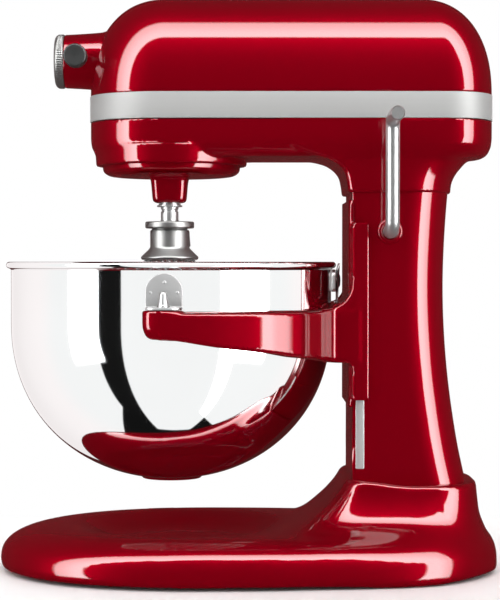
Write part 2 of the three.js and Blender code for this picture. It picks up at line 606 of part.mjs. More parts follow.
function makeStator() {
  const core = turnedAlongX([[23, 27], [36, 27], [36, 93], [23, 93], [23, 27]], MOTOR_Z, 16);
  const coils = turnedAlongX(
    [[24.5, 18], [32, 18], [34, 22], [34, 98], [32, 102], [24.5, 102], [24.5, 18]], MOTOR_Z, 16,
  );
  const bolts = [-1, 1].map((s) => rod([27, s * 30, MOTOR_Z + 29], [93, s * 30, MOTOR_Z + 29], 4, 4, 8));
  const ears = [-1, 1].map((s) => box(40, 80, s * 31 - 8, s * 31 + 8, MOTOR_Z + 14, MOTOR_Z + 27));
  const clearance = rod([30, 0, MOTOR_Z], [90, 0, MOTOR_Z], 24, 24, 20);
  return join(core, coils, ...ears.map((ear) => ear.subtract(clearance)), ...bolts);
}

function makeFan() {
  const hub = turnedAlongX([[5 + GAP, 106], [9, 106], [9, 116], [5 + GAP, 116], [5 + GAP, 106]], MOTOR_Z, 16);
  const disc = turnedAlongX([[8, 106], [29, 106], [29, 107.6], [8, 107.6], [8, 106]], MOTOR_Z, 20);
  const blades = ring(7, (a) => a).map((a) =>
    box(107, 115, 8.5, 28.5, -0.8, 0.8).rotate([(a * 180) / Math.PI, 0, 0]).translate([0, 0, MOTOR_Z]),
  );
  return join(hub, disc, ...blades);
}

// A cross plate in the head that holds one of the motor's bearings.
function makeMotorBracket(x, low) {
  const plate = box(x, x + 5, -38, 38, low, 384);
  const hole = rod([x - 3, 0, MOTOR_Z], [x + 9, 0, MOTOR_Z], 11 + GAP, 11 + GAP, 20);
  const vents = [-1, 1].map((s) => rod([x - 3, s * 26, MOTOR_Z], [x + 9, s * 26, MOTOR_Z], 9, 9, 10));
  return cut(plate, hole, ...vents);
}

function makeBearing(x) {
  return turnedAlongX([[5 + GAP, x], [11, x], [11, x + 7], [5 + GAP, x + 7], [5 + GAP, x]], MOTOR_Z, 20);
}

function makeBrushHolder(side) {
  const [a, b] = [side * (13 + 2 * GAP), side * 36].sort((p, q) => p - q);
  return join(
    box(124, 135, a, b, MOTOR_Z - 5, MOTOR_Z + 5),
    box(121, 138, Math.min(side * 27, side * 30), Math.max(side * 27, side * 30), MOTOR_Z - 9, MOTOR_Z + 9),
  );
}

function makeGearBracket() {
  const outline = [
    [14, -38], [14, 38], [2, 46], [-46, 46], [-92, 38], [-104, 22], [-104, -22], [-92, -38], [-46, -46], [2, -46],
  ];
  const plate = slab(outline, BRACKET_Z[0], BRACKET_Z[1], [
    shift(circle(6 + GAP), BOWL_X, 0).reverse(),
    shift(circle(4 + GAP, 16), WHEEL_X, WHEEL_Y).reverse(),
    shift(circle(13), -20, -22).reverse(),
  ]);
  return plate;
}

function makeControlBoard() {
  const board = box(86, 138, -30, 30, 306.3, 308);
  const parts = [
    rod([94, -18, 307], [94, -18, 318], 5, 5, 10), rod([108, -18, 307], [108, -18, 315], 4, 4, 10),
    box(90, 128, 2, 12, 307, 317), box(104, 134, 18, 26, 307, 313),
  ];
  return join(board, ...parts);
}

// ---------------------------------------------------------------- whisk

const WHISK = { x: BOWL_X, y: PLANET_Y, loops: 5, wire: 1.1 };

// The whisk's ferrule, with the bayonet slot that hooks over the shaft's cross pin.
function makeWhiskHub() {
  const outer = [
    [0, 227.6], [18.6, 227.6], [20.4, 228], [20.9, 229.2], [20.3, 230.2], [13.6, 236.4], [13.5, 249], [12.6, 249.4],
    [12.6, 250.4], [17.4, 250.6], [17.65, 251.2], [17.65, 254.6], [17, 255.3], [0, 255.3],
  ];
  const body = turned(outer, WHISK.x, WHISK.y, 20);
  const under = turned([[0, 220], [18.4, 220], [18.4, 229.5], [0, 229.5]], WHISK.x, WHISK.y, 20);
  const bore = rod([WHISK.x, WHISK.y, 231.6], [WHISK.x, WHISK.y, 260], SHAFT_RADIUS + GAP, SHAFT_RADIUS + GAP, 20);
  const reach = 10.4;
  const groove = (z0, z1, from, to) => {
    const steps = 4;
    const arc = (r, back) => Array.from({ length: steps + 1 }, (_, i) => {
      const share = back ? 1 - i / steps : i / steps;
      const a = from + (to - from) * share;
      return [WHISK.x + r * Math.cos(a), WHISK.y + r * Math.sin(a)];
    });
    return slab([...arc(2, false), ...arc(reach, true)].reverse(), z0, z1);
  };
  const open = 0.37; // half the angle of the upright parts of the slot
  const turn = 1.15; // how far the whisk is turned to lock it
  const sides = [0, Math.PI];
  const tools = sides.flatMap((a) => [
    groove(PIN_Z - 7, PIN_Z + 2.3, a - open, a + open),
    groove(PIN_Z - 7, PIN_Z - 1.5, a - open, a + turn + open),
    groove(PIN_Z - 7, 260, a + turn - open, a + turn + open),
  ]);
  return cut(body, under, bore, ...tools);
}

// Half of a wire loop: [radius, height] from the ferrule to the bottom.
const WIRE = [
  [15.6, 228.4], [21.5, 221], [30, 202], [42, 175], [52, 150], [56, 132], [52.4, 118], [42, 107.6], [27, 99.6],
  [12, 96], [0, 95.2],
];

function makeWhiskWires() {
  const section = new THREE.Shape(circle(WHISK.wire, 4).map(([x, y]) => new THREE.Vector2(x, y)));
  const loops = Array.from({ length: WHISK.loops }, (_, i) => {
    const at = (side) => ([r, z]) => new THREE.Vector3(side * r, 0, z + (0.8 * i * (228.4 - z)) / 133);
    const path = new THREE.CatmullRomCurve3([...WIRE.map(at(1)), ...WIRE.slice(0, -1).reverse().map(at(-1))]);
    const g = new THREE.ExtrudeGeometry(section, { steps: 16, extrudePath: path, bevelEnabled: false });
    return solid(g.rotateZ((i * Math.PI) / WHISK.loops + Math.PI / 2));
  });
  const plug = rod([0, 0, 226.8], [0, 0, 229], 17.3, 17.3, 20);
  return join(plug, ...loops).translate([WHISK.x, WHISK.y, 0]);
}

// ---------------------------------------------------------------- bowl

const bowlRadius = (z) => {
  const drop = Math.min(1, Math.max(0, (BOWL.centreZ - z) / BOWL.depth));
  return BOWL.radius * (1 - drop ** BOWL.power) ** (1 / BOWL.power);
};

function makeBowl() {
  const foot = 22;
  const drops = [1, 0.975, 0.91, 0.8, 0.65, 0.46, 0.22, 0];
  const outer = drops.map((d) => {
    const z = BOWL.centreZ - d * BOWL.depth;
    return [Math.max(foot, bowlRadius(z)), z];
  });
  const inner = outer.map(([r, z]) => [r - BOWL.wall, z + BOWL.wall * (0.15 + 0.85 * (1 - r / BOWL.radius))]);
  const beadR = BOWL.radius + 1.05;
  const bead = [-80, -20, 40, 110].map((deg) => {
    const a = (deg * Math.PI) / 180;
    return [beadR + BOWL.bead * Math.cos(a), BOWL.rimZ + BOWL.bead * Math.sin(a)];
  });
  const neck = [BOWL.radius, BOWL.rimZ - BOWL.bead - 0.6];
  const lip = [BOWL.radius - BOWL.wall, BOWL.rimZ - 0.4];
  const inside = inner.reverse();
  const profile = [[0, outer[0][1]], ...outer, neck, ...bead, lip, ...inside, [0, inside.at(-1)[1]]];
  return turned(profile, BOWL_X, 0, 32);
}

// The bracket on the bowl's side: an upright plate with a round top, and a ledge with the pin's hole.
function makeEar(side) {
  const half = 12.5;
  const arch = Array.from({ length: 9 }, (_, i) => {
    const a = (Math.PI * i) / 8;
    return [BOWL_X + half * Math.cos(a), 206.5 + half * Math.sin(a)];
  });
  const plate = slab([[BOWL_X - half, 194.1], [BOWL_X + half, 194.1], ...arch], 0, 1.6)
    .rotate([90, 0, 0])
    .translate([0, 120, 0]);
  const ledge = box(BOWL_X - 11.5, BOWL_X + 11.5, 119, 140.5, 194.1, 195.9);
  const hole = rod([BOWL_X, ARM_PIN_Y, 190], [BOWL_X, ARM_PIN_Y, 200], 4.9, 4.9, 16);
  const ear = cut(join(plate, ledge), hole);
  return side > 0 ? ear : ear.mirror([0, 1, 0]);
}

const REAR_WALL_X = BOWL_X + BOWL.radius;
const BUTTON_Z = 212.4;

function makeRearBracket() {
  const plate = box(REAR_WALL_X + GAP, REAR_WALL_X + 3.3, -14, 14, 204.3, 220.6);
  const stem = rod([REAR_WALL_X + 2, 0, BUTTON_Z], [REAR_WALL_X + 5.4, 0, BUTTON_Z], 2.6, 2.6, 12);
  const button = rod([REAR_WALL_X + 5.2, 0, BUTTON_Z], [REAR_WALL_X + 7, 0, BUTTON_Z], 5.2, 3, 16);
  return join(plate, stem, button);
}

// ---------------------------------------------------------------- lifting carriage

// The near arm's centre line in plan, from the carriage to the boss that carries the bowl: [x, y, underside].
const ARM = [
  [73, -45, 158], [66, -57, 159.5], [55, -73, 162], [40, -91, 165], [18, -109.5, 168.5], [-10, -123, 172],
  [-36, -129.2, 174.5], [-62, -131.2, 176],
];
const ARM_HALF = 6.5;

function makeArm() {
  const levels = ARM.map(([x, y, low], i) => {
    const before = ARM[Math.max(0, i - 1)];
    const after = ARM[Math.min(ARM.length - 1, i + 1)];
    const across = new THREE.Vector2(after[1] - before[1], before[0] - after[0]).normalize();
    return { x, y, low, across };
  });
  return stack(levels, 12, (a, { x, y, low, across }) => {
    const side = ARM_HALF * power(Math.cos(a), 4);
    const rise = (CARRIAGE.armTop - low) / 2;
    return [x + across.x * side, y + across.y * side, CARRIAGE.armTop - rise + rise * power(Math.sin(a), 5)];
  });
}

function makeBoss() {
  const levels = [
    { z: 193.7, a: 13.4, b: 8.4 }, { z: 192.6, a: 14, b: 9 }, { z: 184, a: 13.7, b: 8.8 }, { z: 179, a: 12, b: 8 },
    { z: 175.8, a: 9.6, b: 6.6 }, { z: 174.3, a: 7, b: 5 },
  ];
  return stack(levels, 20, (t, { z, a, b }) => [
    BOWL_X + a * power(Math.cos(t), 2.6), -ARM_PIN_Y + b * power(Math.sin(t), 2.6), z,
  ]);
}

function makeCarriage() {
  const { front, plateBack, back, half, low, high } = CARRIAGE;
  const corner = 4;
  const inside = COLUMN.half + 0.6;
  const outline = [
    [back, -half], [back, -inside], [plateBack, -inside], [plateBack, inside], [back, inside],
    [back, half], [front + corner, half], [front + 1.2, half - 1.2], [front, half - corner], [front, corner - half],
    [front + 1.2, 1.2 - half], [front + corner, -half],
  ];
  const channel = slab(outline, low, high);
  const sideTop = box(COLUMN.front - 0.2, 100, -70, 70, 254.3, 300);
  const sideFoot = box(COLUMN.front - 0.2, 100, -70, 70, 100, 127.6);
  const near = join(makeArm(), makeBoss());
  const shelf = box(61.6, front + 1, -30, 30, 166, 196);
  const columnSpace = box(plateBack, 100, -inside, inside, 100, 300);
  return cut(join(channel, shelf, near, near.mirror([0, 1, 0])), sideTop, sideFoot, columnSpace);
}

function makeLocatingPin(side) {
  const profile = [[0, 194], [4.4, 194], [4.4, 196.4], [4, 197.5], [2.4, 205.4], [1.6, 206.4], [0, 206.4]];
  return turned(profile, BOWL_X, side * ARM_PIN_Y, 16);
}

// The flat spring that the bowl's button drops into: an upright strip with an open-topped slot.
function makeLatchSpring() {
  const x = REAR_WALL_X + 3.9;
  const strip = slab(
    [[-11, 0], [11, 0], [11, 25], [9, 28.5], [4.6, 28.5], [3.4, 26], [3.4, 12], [2.4, 10.4], [-2.4, 10.4], [-3.4, 12],
      [-3.4, 26], [-4.6, 28.5], [-9, 28.5], [-11, 25]],
    0, 0.8,
  );
  const upright = strip.rotate([90, 0, 90]).translate([x, 0, 196.6]);
  return join(upright, box(61.8, x + 0.8, -11, 11, 196.3, 197.1));
}


const CRANK_PLANE = { arm: [-5.5, 0.2], plate: [1.6, 6.4] };
const restPin = [LEVER.x + CRANK.radius * Math.cos(CRANK.swing), LEVER.z + CRANK.radius * Math.sin(CRANK.swing)];

// The bracket that reaches back from the carriage through the column's slot, and the upright plate on it with the
// level slot that the crank's pin runs in.
function makeLiftBracket() {
  const [y0, y1] = CRANK_PLANE.plate;
  const slack = 1.9;
  const plate = box(106.5, 134.4, y0, y1, 178, restPin[1] + CRANK.roller + slack + 4);
  const waist = box(128, 140, y0 - 1, y1 + 1, 170, 250);
  const clearOfShaft = box(100, 107.8, y0 - 1, y1 + 1, 202, 300);
  const slot = box(
    restPin[0] - CRANK.roller - 0.6, LEVER.x + CRANK.radius + CRANK.roller + 0.4, y0 - 1, y1 + 1,
    restPin[1] - CRANK.roller - slack, restPin[1] + CRANK.roller + slack,
  );
  const foot = box(CARRIAGE.plateBack + GAP, 80, -9, 9, 174, 202);
  const reach = box(79, 112, -4, y1, 178, 200);
  return join(cut(plate, waist, clearOfShaft, slot), foot, reach);
}

// ---------------------------------------------------------------- lift lever

// A bent chrome bar: cross shaft through the column, upright handle and a grip turned out to the side.
function makeLever() {
  const { x, z, rod: r, height, side, grip } = LEVER;
  const bend = 7;
  const points = [
    [x, 48, z], [x, side + bend, z], [x, side + 2, z + 2], [x, side, z + bend],
    [x, side, z + height - bend], [x, side - 2, z + height - 2], [x, side - bend, z + height], [x, side - grip, z + height],
  ];
  const pieces = [];
  for (let i = 0; i < points.length - 1; i++) pieces.push(rod(points[i], points[i + 1], r, r, 10));
  const knuckles = points.slice(1, -1).map((p) => solid(new THREE.SphereGeometry(r, 8, 4).translate(...p)));
  return join(...pieces, ...knuckles);
}

function makeCrank() {
  const [y0, y1] = CRANK_PLANE.arm;
  const [px, pz] = restPin;
  const shaftHole = rod([LEVER.x, -20, LEVER.z], [LEVER.x, 20, LEVER.z], LEVER.rod + GAP, LEVER.rod + GAP, 16);
  const eye = rod([LEVER.x, y0, LEVER.z], [LEVER.x, y1, LEVER.z], 9.5, 9.5, 20);
  const tip = rod([px, y0, pz], [px, y1, pz], 5.5, 5.5, 16);
  const length = CRANK.radius;
  const turn = [0, (-CRANK.swing * 180) / Math.PI, 0];
  const bar = box(0, length, y0, y1, -5, 5).rotate(turn).translate([LEVER.x, 0, LEVER.z]);
  const pin = rod([px, y1 - 1, pz], [px, CRANK_PLANE.plate[1] + 1.6, pz], CRANK.roller, CRANK.roller, 16);
  return cut(join(eye, tip, bar, pin), shaftHole);
}

function makeLeverBush(side) {
  const profile = [
    [LEVER.rod + GAP, 38], [BUSH_RADIUS, 38], [BUSH_RADIUS, 47.4], [LEVER.rod + 1.6, 48.6], [LEVER.rod + GAP, 48.6],
    [LEVER.rod + GAP, 38],
  ];
  const g = new THREE.LatheGeometry(profile.map(([r, y]) => new THREE.Vector2(r, y)), 20);
  const bush = solid(g.translate(LEVER.x, 0, LEVER.z));
  return side > 0 ? bush : bush.mirror([0, 1, 0]);
}

// ---------------------------------------------------------------- assembly

node("base", makeBase(), RED);
FEET.forEach(([x, y], i) => {
  const profile = [[0, 0], [FOOT_RADIUS - 1.2, 0], [FOOT_RADIUS, 1.2], [FOOT_RADIUS - 0.5, 6.2], [0, 6.2]];
  const foot = turned(profile, x, y, 12);
  node(`rubber_foot_${i + 1}`, foot, RUBBER);
});
node("column", makeColumn(), RED);
COLUMN_BOLTS.forEach(([x, y], i) => {
  const bolt = turned([[0, 47.5], [6, 47.5], [6, 52.5], [3, 52.5], [3, 78], [0, 78]], x, y, 10);
  node(`column_bolt_${i + 1}`, bolt, STEEL);
});
const rail = box(RAIL.x0, RAIL.x1, RAIL.inner, RAIL.outer, RAIL.low, RAIL.high);
node("slide_rail_near", rail.mirror([0, 1, 0]), BRUSHED);
node("slide_rail_far", rail, BRUSHED);
node("lever_bush_near", makeLeverBush(-1), RED);
node("lever_bush_far", makeLeverBush(1), RED);
node("cord_gland", turnedAlongX([[4, 141], [8, 141], [8, 150.4], [7, 151.2], [4, 151.2], [4, 141]], GLAND_Z, 20), BLACK);

node("head_lower_housing", makeLowerHousing(), RED);
node("head_top_cover", makeTopCover(), RED);
node("trim_band", makeBand(), BRUSHED);
node("hub_cap", makeHubCap(), BRUSHED);
node("hub_knob", makeHubKnob(), BLACK);
node("hub_drive", makeHubDrive(), STEEL);
node("hub_bearing", turnedAlongX(
  [[7 + GAP, -117], [9.2, -117], [9.2, -102], [7 + GAP, -102], [7 + GAP, -117]], HUB_Z, 20,
), BRONZE);
node("speed_plate", makeSpeedPlate(), BLACK);
node("speed_lever", makeSpeedLever(), BLACK);

node("armature", makeArmature(), STEEL);
node("cooling_fan", makeFan(), NYLON);
node("stator", makeStator(), COPPER);
node("motor_bracket_front", makeMotorBracket(8, BRACKET_Z[1] + GAP), ALUMINIUM);
node("motor_bracket_rear", makeMotorBracket(142, 308), ALUMINIUM);
node("motor_bearing_front", makeBearing(7), STEEL);
node("motor_bearing_rear", makeBearing(141), STEEL);
node("brush_holder_near", makeBrushHolder(-1), BLACK);
node("brush_holder_far", makeBrushHolder(1), BLACK);
node("control_board", makeControlBoard(), BOARD);

node("worm_wheel", makeWormWheel(), BRONZE);
node("wheel_shaft", makeWheelShaft(), STEEL);
node("gear_bracket", makeGearBracket(), ALUMINIUM);
node("centre_gear", makeCentreGear(), STEEL);
node("centre_shaft", makeCentreShaft(), STEEL);
node("centre_bearing", turned(
  [[6 + GAP, 306], [CENTRE_BORE, 306], [CENTRE_BORE, 315.5], [6 + GAP, 315.5], [6 + GAP, 306]], BOWL_X, 0, 20,
), BRONZE);
node("ring_gear", makeRingGear(), STEEL);
node("planetary_hub", makePlanetaryHub(), RED);
node("planet_pinion", makePlanetPinion(), STEEL);
node("beater_shaft", makeBeaterShaft(), CHROME);
node("cross_pin", rod([BOWL_X - 9.6, PLANET_Y, PIN_Z], [BOWL_X + 9.6, PLANET_Y, PIN_Z], 2, 2, 12), STEEL);
node("retaining_washer", turned(
  [[SHAFT_RADIUS + GAP, 265.8], [8.8, 265.8], [9.2, 267], [7.6, 268.3], [SHAFT_RADIUS + GAP, 268.3],
    [SHAFT_RADIUS + GAP, 265.8]],
  BOWL_X, PLANET_Y, 20,
), CHROME);
node("whisk_hub", makeWhiskHub(), BRUSHED);
node("whisk_wires", makeWhiskWires(), CHROME);

node("bowl", makeBowl(), CHROME);
node("bowl_ear_near", makeEar(-1), BRUSHED);
node("bowl_ear_far", makeEar(1), BRUSHED);
node("bowl_rear_bracket", makeRearBracket(), BRUSHED);

node("carriage", makeCarriage(), RED);
node("locating_pin_near", makeLocatingPin(-1), CHROME);
node("locating_pin_far", makeLocatingPin(1), CHROME);
node("latch_spring", makeLatchSpring(), BRUSHED);
node("lift_bracket", makeLiftBracket(), STEEL);
node("lift_lever", makeLever(), CHROME);
node("lift_crank", makeCrank(), STEEL);

export default mixer;
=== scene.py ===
"""Looks of a bowl-lift stand mixer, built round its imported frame. Shapes are worked out in millimetres."""
import math

import bmesh
import bpy
import numpy as np
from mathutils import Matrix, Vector


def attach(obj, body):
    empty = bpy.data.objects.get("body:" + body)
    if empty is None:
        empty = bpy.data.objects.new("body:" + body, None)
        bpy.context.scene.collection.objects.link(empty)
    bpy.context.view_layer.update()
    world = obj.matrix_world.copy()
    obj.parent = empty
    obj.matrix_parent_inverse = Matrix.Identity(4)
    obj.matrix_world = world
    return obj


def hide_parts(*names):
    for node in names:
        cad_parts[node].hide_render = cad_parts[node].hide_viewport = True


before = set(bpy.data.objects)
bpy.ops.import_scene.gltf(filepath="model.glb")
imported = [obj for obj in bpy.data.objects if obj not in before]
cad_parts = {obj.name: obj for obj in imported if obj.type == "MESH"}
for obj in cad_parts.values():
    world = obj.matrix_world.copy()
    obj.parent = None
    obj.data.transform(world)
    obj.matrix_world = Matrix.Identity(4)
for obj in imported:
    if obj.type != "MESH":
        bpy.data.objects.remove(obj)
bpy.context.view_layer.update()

MM = 0.001
PREFIX = "looks_"
TAU = 2 * math.pi
scene = bpy.context.scene

# ---------------------------------------------------------------- sizes that several pieces share

BOWL_X = -58.0  # the bowl's and the drive's upright axis
BEATER_Y = -32.0
HEAD_FRONT, HEAD_REAR, HEAD_HALF, HEAD_TOP = -117.3, 177.4, 53.0, 419.3
FRONT_CAP, REAR_CAP = 56.0, 38.0
BAND_LOW, BAND_HIGH = 328.6, 347.4
NECK_Z = 276.0
COLUMN_FRONT, COLUMN_HALF, COLUMN_SIDES = 73.3, 47.0, 160
HUB_Z, HUB_FACE = 374.0, -136.3
KNOB_X = -125.3
BOWL_RADIUS, BOWL_DEPTH, BOWL_KNEE, RIM_Z = 117.9, 114.0, 180.6, 223.9
ARM_TOP, PIN_Y = 192.0, 132.0
LEVER_X, LEVER_Z, LEVER_RADIUS = 100.0, 248.0, 5.0


# ---------------------------------------------------------------- camera

def set_camera():
    """The camera stands level with the bowl's rim, square to the mixer's side."""
    data = bpy.data.cameras.new("camera")
    data.lens, data.sensor_width = 109.4, 36.0
    camera = bpy.data.objects.new("camera", data)
    scene.collection.objects.link(camera)
    camera.location = (0.0, -1.350, 0.2265)
    tilt = math.atan2(0.198 - 0.2265, 1.350)
    camera.rotation_euler = (math.pi / 2 + tilt, 0.0, 0.0)
    scene.camera = camera


set_camera()


# ---------------------------------------------------------------- shader expressions

class Wire:
    """A shader socket that takes part in Python arithmetic: each operation adds one Math node."""

    def __init__(self, finish, socket):
        self.finish, self.socket = finish, socket

    def _math(self, operation, first, second):
        return self.finish.add("ShaderNodeMath", {"operation": operation}, {0: first, 1: second})

    def __add__(self, other):
        return self._math("ADD", self, other)

    __radd__ = __add__

    def __sub__(self, other):
        return self._math("SUBTRACT", self, other)

    def __rsub__(self, other):
        return self._math("SUBTRACT", other, self)

    def __mul__(self, other):
        return self._math("MULTIPLY", self, other)

    __rmul__ = __mul__

    def above(self, level):
        return self._math("GREATER_THAN", self, level)


class Graph:
    """A node tree under construction."""

    def __init__(self, owner, coordinates):
        owner.use_nodes = True
        self.tree = owner.node_tree
        self.tree.nodes.clear()
        self.place = self.add("ShaderNodeTexCoord", out=coordinates)

    def add(self, kind, settings=None, inputs=None, out=0):
        """One node: its settings first, then the values or wires of its sockets."""
        node = self.tree.nodes.new(kind)
        for key, value in (settings or {}).items():
            if key == "stops":
                ramp = node.color_ramp
                for i, (at, colour) in enumerate(value):
                    stop = ramp.elements[i] if i < 2 else ramp.elements.new(at)
                    stop.position, stop.color = at, colour
            else:
                setattr(node, key, value)
        for key, value in (inputs or {}).items():
            if isinstance(value, Wire):
                self.tree.links.new(value.socket, node.inputs[key])
            else:
                node.inputs[key].default_value = value
        return Wire(self, node.outputs[out])

    def ease(self, value, low, high):
        """0 below low, 1 above high, and a smooth step between them."""
        return self.add("ShaderNodeMapRange", {"interpolation_type": "SMOOTHSTEP"},
                        {"Value": value, "From Min": low, "From Max": high}, out="Result")

    def finish_with(self, kind, surface):
        node = self.tree.nodes.new(kind)
        self.tree.links.new(surface.socket, node.inputs["Surface"])


class Finish(Graph):
    """One material under construction."""

    def __init__(self, name):
        self.material = bpy.data.materials.new(name)
        super().__init__(self.material, "Object")

    def stretched(self, x, y, z):
        """The object's own coordinates, each scaled: a small scale draws a pattern out along that axis."""
        return self.add("ShaderNodeMapping", {"vector_type": "POINT"},
                        {"Vector": self.place, "Scale": (x, y, z)})

    def noise(self, where, scale, detail=3.0, rough=0.5):
        return self.add("ShaderNodeTexNoise", None,
                        {"Vector": where, "Scale": scale, "Detail": detail, "Roughness": rough}, out="Fac")

    def between(self, mask, low, high):
        """A colour that goes from low to high as the mask goes from 0 to 1."""
        return self.add("ShaderNodeMix", {"data_type": "RGBA"},
                        {"Factor": mask, "A": (*low, 1), "B": (*high, 1)}, out=2)

    def bump(self, height, strength, distance):
        return self.add("ShaderNodeBump", None,
                        {"Height": height, "Strength": strength, "Distance": distance})

    def close(self, colour, roughness, metallic=0.0, normal=None, **fixed):
        """Joins the surface to the output. Numbers stay on the shader's own sockets."""
        inputs = {"Base Color": colour if isinstance(colour, Wire) else (*colour, 1),
                  "Roughness": roughness, "Metallic": metallic}
        if normal is not None:
            inputs["Normal"] = normal
        inputs.update({key.replace("_", " "): value for key, value in fixed.items()})
        self.finish_with("ShaderNodeOutputMaterial",
                         self.add("ShaderNodeBsdfPrincipled", None, inputs, out="BSDF"))
        return self.material


# ---------------------------------------------------------------- finishes

def enamel():
    """Deep red baked enamel: a faint cloud in its colour, an orange-peel skin too fine to see but in
    reflections."""
    f = Finish("red_enamel")
    cloud = f.noise(f.place, 9.0, 2.0)
    dust = f.noise(f.place, 900.0, 2.0)
    peel = f.noise(f.place, 260.0, 1.0)
    colour = f.between(cloud, (0.242, 0.0, 0.0066), (0.220, 0.0, 0.0058))
    return f.close(colour, 0.36 + dust * 0.08, 0.34, f.bump(peel, 0.03, 0.0004),
                   Specular_IOR_Level=0.0, Coat_Weight=1.0, Coat_Roughness=0.015, Coat_IOR=1.5)


def brushed(name, tone, along, rough=0.3, fine=1.0, metallic=1.0):
    """Brushed steel: hairlines drawn out along one axis, in three widths."""
    f = Finish(name)
    across = {"x": (6, 900, 900), "y": (900, 6, 900), "z": (900, 900, 6), "round": (9, 9, 1500)}[along]
    lines = f.noise(f.stretched(*across), 1.0 * fine, 4.0, 0.7)
    broad = f.noise(f.stretched(*(v * 0.22 for v in across)), 1.0 * fine, 2.0)
    mixed = lines * 0.6 + broad * 0.4
    low = tuple(v * 0.86 for v in tone)
    return f.close(f.between(mixed, low, tone), rough - 0.09 + mixed * 0.18, metallic,
                   f.bump(lines, 0.12, 0.0001))


def polished(name, tone=(0.78, 0.79, 0.79), rough=0.03):
    """Mirror-polished steel with the faint rings that the polishing wheel leaves."""
    f = Finish(name)
    rings = f.noise(f.stretched(4, 4, 700), 1.0, 3.0, 0.6)
    smear = f.noise(f.place, 14.0, 3.0)
    colour = f.between(smear, tuple(v * 0.95 for v in tone), tone)
    return f.close(colour, rough + rings * 0.03 + smear * 0.02, 1.0, f.bump(rings, 0.02, 0.00005),
                   Specular_Tint=(0.8, 0.8, 0.8, 1))


def satin(name, tone, rough=0.24, metallic=0.72):
    """Ground steel bar, with only a slow change of sheen along it."""
    f = Finish(name)
    smear = f.noise(f.place, 30.0, 3.0)
    colour = f.between(smear, tuple(v * 0.94 for v in tone), tone)
    return f.close(colour, rough - 0.03 + smear * 0.06, metallic, None, Specular_Tint=(0.8, 0.8, 0.8, 1))


def machined(name, tone=(0.42, 0.42, 0.43)):
    """Turned steel with a thin film of oil."""
    f = Finish(name)
    tool = f.noise(f.stretched(300, 300, 2200), 1.0, 2.0)
    stain = f.noise(f.place, 40.0, 4.0)
    return f.close(f.between(stain, tuple(v * 0.75 for v in tone), tone), 0.24 + tool * 0.16, 1.0,
                   f.bump(tool, 0.15, 0.0001))


def cast(name, tone, metallic=1.0, grain=420.0, rough=0.5):
    """A cast skin: pitted grain, lighter on its high spots."""
    f = Finish(name)
    pits = f.noise(f.place, grain, 4.0, 0.6)
    patch = f.noise(f.place, 26.0, 3.0)
    colour = f.between(pits * 0.5 + patch * 0.5, tuple(v * 0.7 for v in tone),
                       tuple(min(1, v * 1.12) for v in tone))
    return f.close(colour, rough - 0.08 + pits * 0.2, metallic, f.bump(pits, 0.25, 0.0003))


def moulded(name, tone, rough=0.42, grain=1500.0, depth=0.12):
    """Moulded plastic or rubber: a fine even texture and slight handling marks."""
    f = Finish(name)
    skin = f.noise(f.place, grain, 2.0)
    marks = f.noise(f.place, 60.0, 4.0, 0.6)
    colour = f.between(marks, tone, tuple(v * 1.25 for v in tone))
    return f.close(colour, rough - 0.06 + marks * 0.14, 0.0, f.bump(skin, depth, 0.0002))


def wound():
    """The motor's stator: thin laminations along its length, and varnished copper at both ends."""
    f = Finish("laminations_and_copper")
    along = f.add("ShaderNodeSeparateXYZ", None, {"Vector": f.place}, out="X")
    sheets = f.add("ShaderNodeTexWave", {"wave_type": "BANDS", "bands_direction": "X"},
                   {"Vector": f.place, "Scale": 260.0, "Distortion": 0.2}, out="Fac")
    strands = f.add("ShaderNodeTexWave", {"wave_type": "RINGS", "rings_direction": "X"},
                    {"Vector": f.place, "Scale": 190.0, "Distortion": 1.5, "Detail": 1.0}, out="Fac")
    core = (along.above(0.0268)) * (1 - along.above(0.0932))
    iron = f.between(sheets, (0.10, 0.10, 0.11), (0.28, 0.28, 0.29))
    copper = f.between(strands, (0.32, 0.09, 0.03), (0.72, 0.28, 0.11))
    colour = f.add("ShaderNodeMix", {"data_type": "RGBA"}, {"Factor": core, "A": copper, "B": iron}, out=2)
    return f.close(colour, 0.34 + sheets * 0.12, 0.9,
                   f.bump(sheets * core + strands * (1 - core), 0.3, 0.0003))


def board():
    """A green circuit board with paler tracks and soldered pads."""
    f = Finish("circuit_board")
    tracks = f.add("ShaderNodeTexBrick", {"offset": 0.5},
                   {"Vector": f.place, "Scale": 170.0, "Mortar Size": 0.12, "Color1": (0.005, 0.07, 0.025, 1),
                    "Color2": (0.006, 0.085, 0.03, 1), "Mortar": (0.02, 0.2, 0.07, 1)}, out="Color")
    height = f.add("ShaderNodeSeparateXYZ", None, {"Vector": f.place}, out="Z")
    parts = height.above(0.3082)
    colour = f.add("ShaderNodeMix", {"data_type": "RGBA"},
                   {"Factor": parts, "A": tracks, "B": (0.03, 0.03, 0.035, 1)}, out=2)
    return f.close(colour, 0.36 + f.noise(f.place, 300.0) * 0.1, 0.0,
                   f.bump(f.noise(f.place, 600.0), 0.1, 0.0001))


